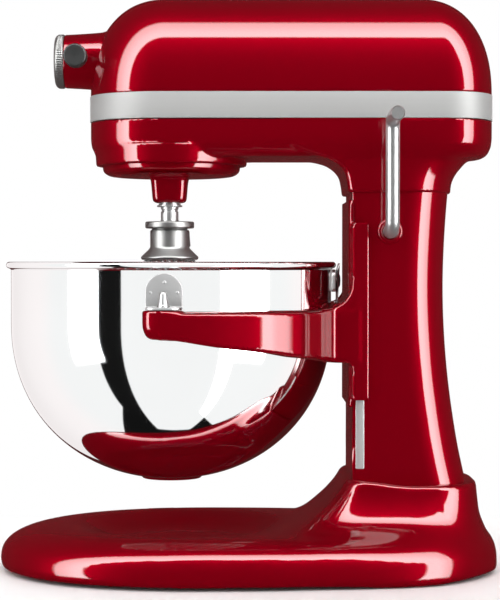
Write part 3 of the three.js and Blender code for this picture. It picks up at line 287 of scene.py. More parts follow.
ENAMEL = enamel()
BAND_STEEL = brushed("band_steel", (0.42, 0.42, 0.415), "round", 0.60, 0.4, 0.32)
RAIL_STEEL = brushed("rail_steel", (0.66, 0.66, 0.65), "z", 0.45, 1.0, 0.55)
TURNED_STEEL = brushed("turned_steel", (0.27, 0.27, 0.265), "round", 0.44, 0.8, 0.85)
SHEET_STEEL = brushed("sheet_steel", (0.34, 0.34, 0.34), "x", 0.36)
BOWL_STEEL = polished("bowl_steel", (0.74, 0.75, 0.75), 0.02)
BAR_STEEL = satin("ground_steel", (0.48, 0.485, 0.485), 0.36)
MACHINED = machined("machined_steel")
CAST_ALLOY = cast("cast_alloy", (0.42, 0.43, 0.44))
BRONZE = cast("bronze", (0.46, 0.27, 0.09), 1.0, 300.0, 0.36)
SOFT_BLACK = moulded("soft_black", (0.020, 0.021, 0.021), 0.46)
HARD_BLACK = moulded("hard_black", (0.016, 0.016, 0.017), 0.34, 900.0, 0.05)
RUBBER = moulded("foot_rubber", (0.012, 0.012, 0.012), 0.78, 700.0, 0.3)
NYLON = moulded("nylon", (0.62, 0.58, 0.47), 0.5, 500.0, 0.08)
WOUND = wound()
BOARD = board()


def smooth_step(x):
    x = np.clip(x, 0.0, 1.0)
    return x * x * (3 - 2 * x)


def signed_power(v, n):
    """v to the power 2/n with its sign kept: it squares off a circle."""
    return np.sign(v) * np.abs(v) ** (2 / n)


def grid_faces(rows, columns, closed=True):
    """Quads between neighbouring points of a grid, joined round its columns when closed."""
    r = np.arange(rows - 1)[:, None]
    c = np.arange(columns if closed else columns - 1)[None, :]
    d = (c + 1) % columns
    return np.stack([r * columns + c, r * columns + d, (r + 1) * columns + d, (r + 1) * columns + c],
                    -1).reshape(-1, 4)


class Skin:
    """Points and faces gathered for one piece."""

    def __init__(self):
        self.points, self.faces, self.count = [], [], 0

    def add(self, points, faces):
        self.points.append(points)
        self.faces += [tuple(int(i) + self.count for i in face) for face in faces]
        self.count += len(points)
        return self

    def sheet(self, grid, closed=True, low=True, high=True):
        """A grid of rings [row, column, 3]. Each open end gets a flat face, or a point where it has shrunk to
        one."""
        rows, columns = grid.shape[:2]
        faces = [tuple(f) for f in grid_faces(rows, columns, closed)]
        if low:
            faces.append(tuple(range(columns - 1, -1, -1)))
        if high:
            faces.append(tuple(range((rows - 1) * columns, rows * columns)))
        return self.add(grid.reshape(-1, 3), faces)


def piece(name, skin, material, body, sharp=32.0):
    """One finished object at the origin, in place of the node of that name: its faces are turned outwards and
    its creases kept above an angle."""
    points = np.concatenate(skin.points) * MM
    mesh = bpy.data.meshes.new(name)
    mesh.from_pydata(points.tolist(), [], skin.faces)
    mesh.validate()
    work = bpy.data.objects.new(PREFIX + name, mesh)
    scene.collection.objects.link(work)
    bm = bmesh.new()
    bm.from_mesh(mesh)
    bmesh.ops.remove_doubles(bm, verts=bm.verts, dist=1e-6)
    bmesh.ops.recalc_face_normals(bm, faces=bm.faces)
    bm.to_mesh(mesh)
    bm.free()
    mesh.shade_smooth()
    mesh.set_sharp_from_angle(angle=math.radians(sharp))
    mesh.materials.append(material)
    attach(work, body)
    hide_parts(name)


def softened(points, radius, steps=5, closed=False):
    """A polyline whose corners are rounded: each becomes an arc that starts a radius before it, or less on
    short sides."""
    points = np.asarray(points, float)
    n = len(points)
    out = []
    for i in range(n):
        if not closed and i in (0, n - 1):
            out.append(points[i:i + 1])
            continue
        here, back, ahead = points[i], points[i - 1], points[(i + 1) % n]
        a, b = back - here, ahead - here
        reach = min(radius, 0.45 * np.linalg.norm(a), 0.45 * np.linalg.norm(b))
        start, end = here + a / np.linalg.norm(a) * reach, here + b / np.linalg.norm(b) * reach
        t = np.linspace(0, 1, steps)[:, None]
        out.append((1 - t) ** 2 * start + 2 * t * (1 - t) * here + t ** 2 * end)
    return np.concatenate(out)


def resampled(points, count, closed=False):
    """The same polyline with evenly spaced points."""
    points = np.asarray(points, float)
    if closed:
        points = np.concatenate([points, points[:1]])
    length = np.concatenate([[0], np.cumsum(np.linalg.norm(np.diff(points, axis=0), axis=1))])
    at = np.linspace(0, length[-1], count, endpoint=not closed)
    return np.stack([np.interp(at, length, points[:, k]) for k in range(points.shape[1])], -1)


def turned(profile, centre, axis="z", sides=96, ripple=None):
    """A profile of [radius, height] turned round a line through centre. ripple(angle, height) adds to the
    radius."""
    profile = np.asarray(profile, float)
    angle = np.linspace(0, TAU, sides, endpoint=False)[None, :]
    r, h = profile[:, :1], profile[:, 1:]
    r = np.maximum(r, 0.0) + (ripple(angle, h) if ripple else 0 * angle)
    u, v, w = r * np.cos(angle), r * np.sin(angle), h + 0 * angle
    order = {"z": (u, v, w), "x": (w, u, v), "y": (v, w, u)}[axis]
    return np.stack(order, -1) + np.asarray(centre, float)


def bar(path, radius, sides=32, flat=(0, 0, 1)):
    """A round bar along a path that lies in one plane: flat is that plane's normal. radius may change along
    it."""
    path = np.asarray(path, float)
    along = np.gradient(path, axis=0)
    along /= np.linalg.norm(along, axis=1, keepdims=True)
    normal = np.asarray(flat, float)
    side = np.cross(along, normal)
    angle = np.linspace(0, TAU, sides, endpoint=False)[None, :, None]
    radius = np.broadcast_to(radius, (len(path),))[:, None, None]
    return path[:, None] + radius * (np.cos(angle) * normal + np.sin(angle) * side[:, None])


def plate(outline, low, high, edge=0.4):
    """A flat outline [x, y] raised from low to high, with both edges broken by a small round."""
    outline = np.asarray(outline, float)
    forward, backward = np.roll(outline, -1, 0) - outline, outline - np.roll(outline, 1, 0)
    across = lambda d: np.stack([d[:, 1], -d[:, 0]],
                                -1) / np.maximum(np.linalg.norm(d, axis=1, keepdims=True), 1e-9)
    out = across(forward) + across(backward)
    out /= np.maximum(np.linalg.norm(out, axis=1, keepdims=True), 1e-9)
    turn = np.linspace(0, math.pi / 2, 4)
    inset = np.concatenate([edge * (1 - np.sin(turn)), edge * (1 - np.cos(turn))])
    height = np.concatenate([low + edge * (1 - np.cos(turn)), high - edge * (1 - np.sin(turn))])
    rings = outline[None] - out[None] * inset[:, None, None]
    return np.concatenate([rings, np.broadcast_to(height[:, None, None], rings.shape[:2] + (1,))], -1)


# ---------------------------------------------------------------- blended castings

def union(a, b, blend):
    """The lower of two distances, with a fillet about as wide as blend where they meet."""
    share = np.clip(0.5 + 0.5 * (b - a) / blend, 0, 1)
    return b + (a - b) * share - blend * share * (1 - share)


def cut(a, b, blend=0.6):
    """What is inside a and outside b, its edge broken by blend."""
    return -union(-a, b, blend)


def both(a, b, blend=0.6):
    return -union(-a, -b, blend)


def block(p, low, high, round_=1.0):
    """Distance to a box with rounded edges."""
    low, high = np.asarray(low, float), np.asarray(high, float)
    q = [np.abs(p[k] - (low[k] + high[k]) / 2) - (high[k] - low[k]) / 2 + round_ for k in range(3)]
    outside = np.sqrt(sum(np.maximum(v, 0) ** 2 for v in q))
    return outside + np.minimum(np.maximum(np.maximum(q[0], q[1]), q[2]), 0) - round_


def rounded_pair(a, b, radius):
    """Where both distances are negative, with their common edge rounded to a radius."""
    a, b = a + radius, b + radius
    return np.sqrt(np.maximum(a, 0) ** 2 + np.maximum(b, 0) ** 2) + np.minimum(np.maximum(a, b), 0) - radius


def squared(x, y, n):
    """The superellipse norm: 1 on the outline of half-widths 1."""
    return (np.abs(x) ** n + np.abs(y) ** n + 1e-12) ** (1 / n)


def casting(field, low, high, step):
    """The closed skin where field(p) is zero. Each grid cell that it crosses gets one point, at the mean of
    the crossings on its edges, which is then drawn onto the zero along the field's slope; neighbouring cells
    make the faces."""
    axes = [np.arange(l, h + step, step) for l, h in zip(low, high)]
    value = field(np.stack(np.meshgrid(*axes, indexing="ij")))
    cells = tuple(n - 1 for n in value.shape)
    total, count = np.zeros(cells + (3,)), np.zeros(cells)
    edges = []
    for k in range(3):
        a, b = [np.take(value, range(s, value.shape[k] - 1 + s), axis=k) for s in (0, 1)]
        crosses = (a < 0) != (b < 0)
        at = np.argwhere(crosses)
        point = at.astype(float)
        point[:, k] += a[crosses] / (a[crosses] - b[crosses])
        u, v = (k + 1) % 3, (k + 2) % 3
        around = []
        for du, dv in ((0, 0), (-1, 0), (-1, -1), (0, -1)):
            cell = at.copy()
            cell[:, u] += du
            cell[:, v] += dv
            around.append(cell)
        fits = np.all([(c >= 0).all(1) & (c < cells).all(1) for c in around], axis=0)
        for cell in around:
            index = tuple(cell[fits].T)
            np.add.at(total, index, point[fits])
            np.add.at(count, index, 1)
        edges.append((np.stack(around, 1)[fits], (a[crosses] < 0)[fits]))
    used = count > 0
    number = np.full(cells, -1)
    number[used] = np.arange(used.sum())
    points = np.asarray(low, float) + step * total[used] / count[used][:, None]
    quads = []
    for around, outwards in edges:
        quad = number[around[..., 0], around[..., 1], around[..., 2]]
        quads.append(np.where(outwards[:, None], quad, quad[:, ::-1]))
    points = points.T
    for _ in range(4):
        here = field(points)
        slope = np.stack([(field(points + d) - field(points - d)) / 0.1
                          for d in (np.eye(3)[:, k:k + 1] * 0.05 for k in range(3))])
        move = here * slope / np.maximum((slope ** 2).sum(0), 0.04)
        points = points - np.clip(move, -step, step)
    return points.T, np.concatenate(quads)


# ---------------------------------------------------------------- base

BASE_PLAN = np.array([
    [-184.3, 0], [-178, 34], [-158, 64], [-128, 87], [-90, 101], [-45, 106], [0, 104.5], [50, 99.5],
    [100, 93], [138, 79], [164, 57], [179.5, 29], [184.3, 0]])
PEDESTAL = np.array([  # height, front, rear, half width, squareness
    [4, 10, 181, 87, 2.15], [14, 17, 180, 85, 2.25], [24, 25, 177, 80, 2.4], [33, 34, 172.5, 73, 2.6],
    [43, 45, 168.6, 65, 2.85], [53, 56, 167.0, 60, 3.0], [61, 63, 166.2, 57.6, 3.0],
    [72, 70, 165.4, 56.6, 3.0]])


def plan_series():
    """The foot's outline as a smooth distance from its middle, by angle: a short cosine series through its
    points."""
    angle = np.arctan2(BASE_PLAN[:, 1], BASE_PLAN[:, 0])
    order = np.argsort(angle)
    fine = np.linspace(0, math.pi, 200)
    reach = np.interp(fine, angle[order], np.hypot(*BASE_PLAN[order].T))
    return np.linalg.lstsq(np.cos(fine[:, None] * np.arange(12)), reach, rcond=None)[0]


PLAN_SERIES = plan_series()
FEET = [(-148, 0), (-70, 80), (-70, -80), (140, 50), (140, -50)]
DISH_DEPTH = 13.4


def base_field(p):
    """The foot's rounded slab with its dish, blended into the pedestal, less the hollow under them."""
    x, y, z = p
    angle = np.abs(np.arctan2(y, x))
    reach = sum(c * np.cos(k * angle) for k, c in enumerate(PLAN_SERIES))
    share = np.hypot(x, y) / reach
    ellipse = np.hypot((x + 50) / 91, y / 84)
    dish = DISH_DEPTH * (1 - smooth_step((ellipse - 0.50) / 0.46))
    corner = squared(np.maximum(share - 0.60, 0) / 0.40, np.maximum(z - 8, 0) / 26.8, 2.7)
    tuck = 0.010 * np.clip((9 - z) / 6.5, 0, 1) ** 2
    side = np.maximum((corner - 1) * 27, (share + tuck - 1) * 110)
    slab = rounded_pair(side, 2.5 - z, 1.2)
    slab = both(slab, z - 34 + dish, 4)
    tall = np.clip(z, 4.01, 71.9)
    front, rear, half, n = [smooth_curve(PEDESTAL[:, [0, k]], tall) for k in (1, 2, 3, 4)]
    middle, reach_x = (front + rear) / 2, (rear - front) / 2
    rear_wall = (squared((x - middle) / reach_x, y / half, n) - 1) * 58
    front_wall = (squared((x - middle) / reach_x, y / half, n + 4) - 1) * 58
    wall = np.where(x < middle, front_wall, rear_wall)
    lip = 66.5 + 4 * smooth_step((118 - x) / 46)
    pedestal = rounded_pair(wall, z - lip, 3.0)
    pedestal = np.maximum(pedestal, 4 - z)
    outer = union(slab, pedestal, 11 - 8 * smooth_step((x - 130) / 40))
    outer = both(outer, x - 184.6, 8)
    inner_edge = squared(np.maximum(share - 0.55, 0) / 0.40, np.maximum(z - 5, 0) / 24.5, 2.0)
    hollow_slab = both((inner_edge - 1) * 24, z - 27 + dish, 2)
    hollow_pedestal = np.maximum(wall + 5.5, z - 54)
    hollow = union(hollow_slab, hollow_pedestal, 6)
    whole = cut(outer, hollow, 1.2)
    for fx, fy in FEET:
        boss = np.maximum(np.hypot(x - fx, y - fy) - 8.5, 6.6 - z)
        whole = union(whole, np.maximum(boss, outer + 1), 2)
    return whole


def make_base():
    points, faces = casting(base_field, (-190, -112, -2), (190, 112, 76), 2.0)
    piece("base", Skin().add(points, faces), ENAMEL, "stand", 60)
    profile = softened([[0, 0.6], [3, 0.6], [3.4, 0], [7.4, 0], [9, 1.4], [9, 3.2], [8.4, 3.9], [8.8, 6.2],
                        [0, 6.2]], 0.6)
    for i, (x, y) in enumerate(FEET):
        foot = Skin().sheet(turned(profile, (x, y, 0), sides=48))
        piece(f"rubber_foot_{i + 1}", foot, RUBBER, "stand")


# ---------------------------------------------------------------- column

COLUMN_BACK = np.array([[55, 160.2], [62, 158.6], [76, 155.4], [92, 152], [112, 148.6], [140, 144.8],
                        [172, 142], [207, 140.8], [243, 141.8], [276, 144.2], [290, 145.6]])


def smooth_curve(table, at):
    """A smooth line through a table of [at, value], by a natural blend of neighbouring parabolas."""
    x, v = table.T
    slope = np.gradient(v, x)
    i = np.clip(np.searchsorted(x, at) - 1, 0, len(x) - 2)
    h = x[i + 1] - x[i]
    t = (at - x[i]) / h
    return ((2 * t ** 3 - 3 * t ** 2 + 1) * v[i] + (t ** 3 - 2 * t ** 2 + t) * h * slope[i]
            + (3 * t ** 2 - 2 * t ** 3) * v[i + 1] + (t ** 3 - t ** 2) * h * slope[i + 1])


def column_outline(rear):
    """The column's section: square in front with small corners, broad round corners behind."""
    front, half, small, big = COLUMN_FRONT, COLUMN_HALF, 1.4, 31.0
    quarter = np.linspace(0, math.pi / 2, 24)
    pieces = [
        np.stack([rear - big + big * np.cos(quarter), half - big + big * np.sin(quarter)], -1),
        np.stack([front + small - small * np.sin(quarter), half - small + small * np.cos(quarter)], -1),
    ]
    upper = np.concatenate(pieces)
    return resampled(np.concatenate([upper, upper[::-1] * [1, -1]]), COLUMN_SIDES, closed=True)


def make_column():
    heights = np.linspace(60, NECK_Z + 1, 90)
    rears = smooth_curve(COLUMN_BACK, heights)
    rings = np.stack([np.c_[column_outline(rear), np.full(COLUMN_SIDES, z)] for rear,
                      z in zip(rears, heights)])
    piece("column", Skin().sheet(rings), ENAMEL, "stand", 40)
    for side, name in ((-1, "near"), (1, "far")):
        outline = softened([[75.6, 78], [81.7, 78], [81.7, 252], [75.6, 252]], 0.8, closed=True)
        grid = plate(outline, 46.2, 47.35, 0.3)[..., [0, 2, 1]] * [1, side, 1]
        rail = Skin().sheet(grid)
        piece(f"slide_rail_{name}", rail, RAIL_STEEL, "stand")
        profile = softened([[5.6, 40], [9.2, 40], [9.2, 47.6], [8.2, 48.6], [6.6, 48.9], [5.6, 48.2]], 0.7)
        bush = Skin().sheet(turned(profile, (LEVER_X, 0, LEVER_Z), "y") * [1, side, 1], low=False, high=False)
        piece(f"lever_bush_{name}", bush, ENAMEL, "stand")
    gland = softened([[4.2, 141], [8, 141], [8, 150.4], [7.4, 151.2], [5.4, 151.4], [4.4, 150.6]], 0.5)
    ripple = lambda a, h: np.where(h > 150, 0.12 * np.cos(24 * a), 0 * a)
    piece("cord_gland", Skin().sheet(turned(gland, (0, 0, 96), "x", 96, ripple), low=False, high=False),
          HARD_BLACK, "stand")


# ---------------------------------------------------------------- head

def capped(angle, front, rear, half, front_cap, rear_cap, front_n=2.1, rear_n=2.4):
    """A long outline with a rounded cap at each end, at these angles."""
    c, s = np.cos(angle), np.sin(angle)
    x = np.where(c > 0, rear - rear_cap + rear_cap * signed_power(np.maximum(c, 0), rear_n),
                 front + front_cap - front_cap * signed_power(np.maximum(-c, 0), front_n))
    y = half * np.where(c > 0, signed_power(s, rear_n), signed_power(s, front_n))
    return x, y


def head_outline(inset=0.0, count=256):
    x, y = capped(np.linspace(0, TAU, 1440, endpoint=False), HEAD_FRONT + inset, HEAD_REAR - inset,
                  HEAD_HALF - inset, FRONT_CAP - inset, REAR_CAP - inset)
    return resampled(np.stack([x, y], -1), count, closed=True)


def make_top_cover():
    """Rings that draw in towards the middle line as they rise, on a superellipse of height."""
    count, rise = 288, HEAD_TOP - BAND_HIGH
    lift = np.sin(np.linspace(0, math.pi / 2, 64)) ** (2 / 2.25)
    keep = np.clip(1 - lift ** 2.25, 0, 1) ** (1 / 2.25)
    rings = []
    for t, k in zip(lift, keep):
        shrink = 1 - k
        x, y = capped(np.linspace(0, TAU, count, endpoint=False) + TAU / count / 2,
                      HEAD_FRONT + FRONT_CAP * shrink, HEAD_REAR - 54 * shrink, HEAD_HALF * k,
                      FRONT_CAP * (0.02 + 0.98 * k), REAR_CAP * (0.02 + 0.98 * k))
        rings.append(np.stack([x, y, np.full(count, BAND_HIGH + 0.3 + t * (rise - 0.3))], -1))
    x, y = rings[0][:, 0], rings[0][:, 1]
    tuck = [np.stack([x * 0.992 + 0.2, y * 0.985, np.full(count, z)], -1) for z in (339.0, BAND_HIGH - 0.2)]
    edge = np.stack([x * 0.9985, y * 0.997, np.full(count, BAND_HIGH + 0.05)], -1)
    cover = Skin().sheet(np.stack([*tuck, edge, *rings]))
    barrel = [[16.7, -127.5], [16.7, HUB_FACE + 0.6], [17.3, HUB_FACE], [19.0, HUB_FACE],
              [19.6, HUB_FACE + 0.6], [20.2, -124], [20.9, -114], [21.4, -108.5], [22.3, -105.5],
              [24, -103], [27, -100.5]]
    cover.sheet(turned(softened(barrel, 2.0), (0, 0, HUB_Z), "x", 128), low=False, high=False)
    piece("head_top_cover", cover, ENAMEL, "stand", 50)


def make_band():
    outline = head_outline(-0.5, 320)
    out = np.roll(outline, -1, 0) - np.roll(outline, 1, 0)
    out = np.stack([out[:, 1], -out[:, 0]], -1) / np.linalg.norm(out, axis=1, keepdims=True)
    section = softened([[-0.9, BAND_LOW], [0, BAND_LOW], [0, BAND_HIGH], [-0.9, BAND_HIGH]], 0.35, 4,
                       closed=True)
    rings = np.stack([np.c_[outline + out * s, np.full(len(outline), z)] for s,
                      z in np.r_[section, section[:1]]])
    piece("trim_band", Skin().sheet(rings, low=False, high=False), BAND_STEEL, "stand", 60)


NECK = np.array([  # height, front, rear, half width
    [270, 70.6, 147, 49.6], [276, 70.2, 147.2, 49.7], [279, 69.8, 147.4, 49.6], [284.5, 69.0, 148.4, 49.4],
    [291.6, 66.6, 152.2, 49.2], [296, 62.4, 155.9, 49.2], [299.8, 56, 159.6, 49.5], [303, 46, 164.5, 50],
    [308.5, 32, 171, 50.4], [316, 20, 174, 50.8]])


def head_plan(x, y):
    """Distance to the head's plan outline."""
    front = (squared(np.minimum(x - (HEAD_FRONT + FRONT_CAP), 0) / FRONT_CAP, y / HEAD_HALF,
                     2.1) - 1) * HEAD_HALF
    rear = (squared(np.maximum(x - (HEAD_REAR - REAR_CAP), 0) / REAR_CAP, y / HEAD_HALF, 2.4) - 1) * 45
    return np.where(x < 0, front, rear)


def lower_head_field(p):
    """The head's lower shell with the neck that stands on the column and the skirt round the planetary
    drive."""
    x, y, z = p
    plan = head_plan(x, y)
    body = rounded_pair(plan + 1.2 * np.clip((318 - z) / 10, 0, 1) ** 2, 301.8 - z, 9.5)
    front, rear, half = [smooth_curve(NECK[:, [0, k]], np.clip(z, 270.01, 315.9)) for k in (1, 2, 3)]
    front_part = rounded_pair(front - x, np.abs(y) - half, 5.0)
    rear_part = (squared(np.maximum(x - (rear - 40), 0) / 40, y / half, 2.5) - 1) * 42
    neck = np.where(x < (front + rear) / 2, front_part, rear_part)
    neck = rounded_pair(neck, NECK_Z - z, 1.6)
    body = union(body, neck, 5)
    radius = 55.4 + 0.9 * np.clip((z - 296.5) / 14, 0, 1)
    spread = np.hypot(x - BOWL_X, y)
    skirt = rounded_pair(spread - radius, z - 311, 0.9)
    skirt = rounded_pair(skirt, 296.5 - z, 1.2)
    body = union(body, skirt, 1.5)
    body = cut(body, np.maximum(spread - 51.9, z - 300), 0.8)
    return np.maximum(body, z - (BAND_LOW - 0.25))


def make_lower_head():
    step = 1.5
    points, faces = casting(lower_head_field, (-121, -60, 272), (181, 60, 333), step)
    piece("head_lower_housing", Skin().add(points, faces), ENAMEL, "stand", 60)


def make_hub():
    profile = [[0, -143.3], [13.2, -143.3], [13.6, -142.9], [16.6, -142.9], [17.2, -143.3], [18.4, -142.7],
               [19.7, -141.2], [19.8, -137.4], [19.5, HUB_FACE - 0.2], [16.3, HUB_FACE - 0.2], [16.3, -131],
               [14.3, -131], [14.3, -137.5], [0, -137.5]]
    fine = resampled(softened(profile, 0.8, 6), 160)
    ribs = lambda a, h: np.where((np.abs(h + 139.2) < 1.9) & (fine[:, :1] > 19.2), 0.16 * np.cos(72 * a),
                                 0 * a)
    cap = Skin().sheet(turned(fine, (0, 0, HUB_Z), "x", 576, ribs))
    piece("hub_cap", cap, TURNED_STEEL, "hub_cap", 40)
    grip = [[0, -18], [2.6, -18], [2.8, -31], [6.6, -31.2], [8.1, -32.6], [8.5, -34.6], [8.5, -43.4],
            [8.1, -44.5], [7.2, -45], [3, -44.7], [0, -44.6]]
    fine = resampled(softened(grip, 0.8, 6), 90)
    flutes = lambda a, h: np.where((h > -43.6) & (h < -33.2), -0.22 * np.abs(np.cos(9 * a)) ** 6,
                                   0 * a) * (fine[:, :1] > 8)
    knob = Skin().sheet(turned(fine, (KNOB_X, 0, HUB_Z), "y", 216, flutes))
    piece("hub_knob", knob, SOFT_BLACK, "hub_knob", 40)


def make_speed_lever():
    swing = math.radians(20)
    pivot, along = np.array([58.0, 14.0, 318.0]), np.array([math.sin(swing), math.cos(swing), 0])
    across = np.array([along[1], -along[0], 0])
    place = lambda grid: pivot + grid @ np.array([across, along, [0, 0, 1]])
    arm = Skin().sheet(turned([[2, 4], [2, 49]], (0, 0, 0), "y", 24))
    knob = softened([[0, 47.5], [3.6, 47.5], [4.4, 48.6], [4.9, 53], [6, 59], [5.8, 62], [4.4, 63.4],
                     [0, 63.6]], 1.2, 6)
    arm.sheet(turned(knob, (0, 0, 0), "y", 64))
    arm.sheet(turned(softened([[3, -4], [7, -4], [7, 4], [3, 4]], 0.6), (0, 0, 0), "z", 48), low=False,
              high=False)
    arm.points = [place(points) for points in arm.points]
    piece("speed_lever", arm, HARD_BLACK, "speed_lever", 40)
    angle = np.linspace(0, TAU, 96, endpoint=False)
    outer = np.stack([58 + 29 * signed_power(np.cos(angle), 5), 318 + 6.8 * signed_power(np.sin(angle), 5)],
                     -1)
    inner = np.stack([58 + 18.5 * signed_power(np.cos(angle), 6),
                      318 + 2.4 * signed_power(np.sin(angle), 6)], -1)
    rings = [np.c_[inner[:, 0], np.full(96, y), inner[:, 1]] for y in (53.3, 54.1)]
    shrunk = lambda s: outer * s + (1 - s) * np.array([58, 318])
    rings += [np.c_[shrunk(s)[:, 0], np.full(96, y), shrunk(s)[:, 1]]
              for s, y in ((0.97, 54.3), (0.995, 54.0), (1.0, 53.3))]
    piece("speed_plate", Skin().sheet(np.stack(rings + rings[:1]), low=False, high=False), HARD_BLACK,
          "stand")


# ---------------------------------------------------------------- planetary drive and whisk

def make_drive():
    disc = softened([[0, 288.5], [40, 288.6], [46.2, 289.4], [50.2, 292.2], [51.0, 298.0], [48, 298.6],
                     [0, 298.6]], 2.2, 8)
    hub = Skin().sheet(turned(disc, (BOWL_X, 0, 0), sides=192))
    cone = [[6.7, 270], [6.9, 268.8], [9.6, 268.7], [11.8, 269.8], [12.3, 272.2], [13.1, 282],
            [13.7, 285.8], [15.4, 288.2], [19.5, 289.3], [24, 289.6]]
    cone = softened(cone, 1.6, 6)
    squarish = lambda a, h: cone[:, :1] * (squared(np.cos(a), np.sin(a), 4.0) ** -1 - 1) * (cone[:, :1] > 8)
    hub.sheet(turned(cone, (BOWL_X, BEATER_Y, 0), sides=160, ripple=squarish), low=False, high=False)
    piece("planetary_hub", hub, ENAMEL, "planetary", 40)
    shaft = softened([[0, 236.9], [5.4, 236.9], [6.35, 238.2], [6.35, 262.3], [5.7, 262.7], [5.7, 263.9],
                      [6.35, 264.3], [6.35, 305.8], [0, 305.8]], 0.3)
    piece("beater_shaft", Skin().sheet(turned(shaft, (BOWL_X, BEATER_Y, 0), sides=96)), BAR_STEEL,
          "beater_spindle")
    washer = softened([[6.65, 265.8], [8.6, 265.8], [9.2, 266.3], [9.2, 266.9], [7.9, 267.3], [7.9, 268.3],
                       [6.65, 268.3]], 0.25)
    grid = turned(np.r_[washer, washer[:1]], (BOWL_X, BEATER_Y, 0), sides=96)
    piece("retaining_washer", Skin().sheet(grid, low=False, high=False), BAR_STEEL, "beater_spindle")
    pin = softened([[0, -9.5], [1.6, -9.5], [2, -9.1], [2, 9.1], [1.6, 9.5], [0, 9.5]], 0.3)
    piece("cross_pin", Skin().sheet(turned(pin, (BOWL_X, BEATER_Y, 243), "x", 32)), MACHINED,
          "beater_spindle")


WIRE = np.array([[15.8, 228.6], [21.5, 221], [30, 202], [42, 175], [52, 150], [56, 132], [52.4, 118],
                 [42, 107.6], [27, 99.6], [12, 96], [0, 95.2]])


def catmull(points, per):
    """A smooth curve through its points."""
    points = np.asarray(points, float)
    padded = np.concatenate([2 * points[:1] - points[1:2], points, 2 * points[-1:] - points[-2:-1]])
    t = np.linspace(0, 1, per, endpoint=False)[None, :, None]
    a, b, c, d = [padded[i:len(padded) - 3 + i][:, None] for i in range(4)]
    curve = 0.5 * (2 * b + (c - a) * t + (2 * a - 5 * b + 4 * c - d) * t ** 2 + (3 * b - a - 3 * c + d)
                   * t ** 3)
    return np.concatenate([curve.reshape(-1, points.shape[1]), points[-1:]])


def make_whisk():
    profile = [[6.7, 256], [6.7, 255.3], [16.9, 255.3], [17.65, 254.6], [17.65, 251.1], [17.0, 250.4],
               [12.8, 250.2], [12.8, 249.4], [14.1, 248.9], [14.1, 236.9], [14.8, 235.6], [20.2, 230.4],
               [20.9, 229.4], [20.4, 228.2], [19.4, 227.6], [18.4, 227.7], [17.8, 229], [12, 230.2],
               [6, 231.6], [0, 231.6]]
    fine = softened(profile, 0.7, 5)
    bulge = lambda a, h: 1.5 * np.exp(-(np.abs(a - 0.35) / 0.42) ** 4) * (
        smooth_step((h - 236.6) / 1.5) * smooth_step((248.6 - h) / 1.5)) * (fine[:, :1] > 12)
    hub = Skin().sheet(turned(fine, (BOWL_X, BEATER_Y, 0), sides=192, ripple=bulge), low=False)
    piece("whisk_hub", hub, TURNED_STEEL, "whisk", 38)
    wires = Skin()
    loops = 11
    for i in range(loops):
        turn = math.pi * i / loops + 0.1
        half = WIRE + np.c_[np.zeros(len(WIRE)), 0.5 * i * (228.6 - WIRE[:, 1]) / 133]
        flat = catmull(np.concatenate([half, half[-2::-1] * [-1, 1]]), 6)
        across = np.array([math.cos(turn), math.sin(turn), 0])
        path = np.array([BOWL_X, BEATER_Y, 0]) + flat[:, :1] * across + flat[:, 1:] * np.array([0, 0, 1])
        wires.sheet(bar(path, 1.05, 12, np.cross(across, (0, 0, 1))))
    plug = softened([[0, 226.9], [16, 226.9], [17.2, 227.6], [17.2, 229.2], [0, 229.4]], 0.5)
    wires.sheet(turned(plug, (BOWL_X, BEATER_Y, 0), sides=96))
    piece("whisk_wires", wires, BAR_STEEL, "whisk", 40)


# ---------------------------------------------------------------- bowl

def bowl_radius(z):
    drop = np.clip((BOWL_KNEE - z) / BOWL_DEPTH, 0, 1)
    return BOWL_RADIUS * (1 - drop ** 2.1) ** (1 / 2.1)


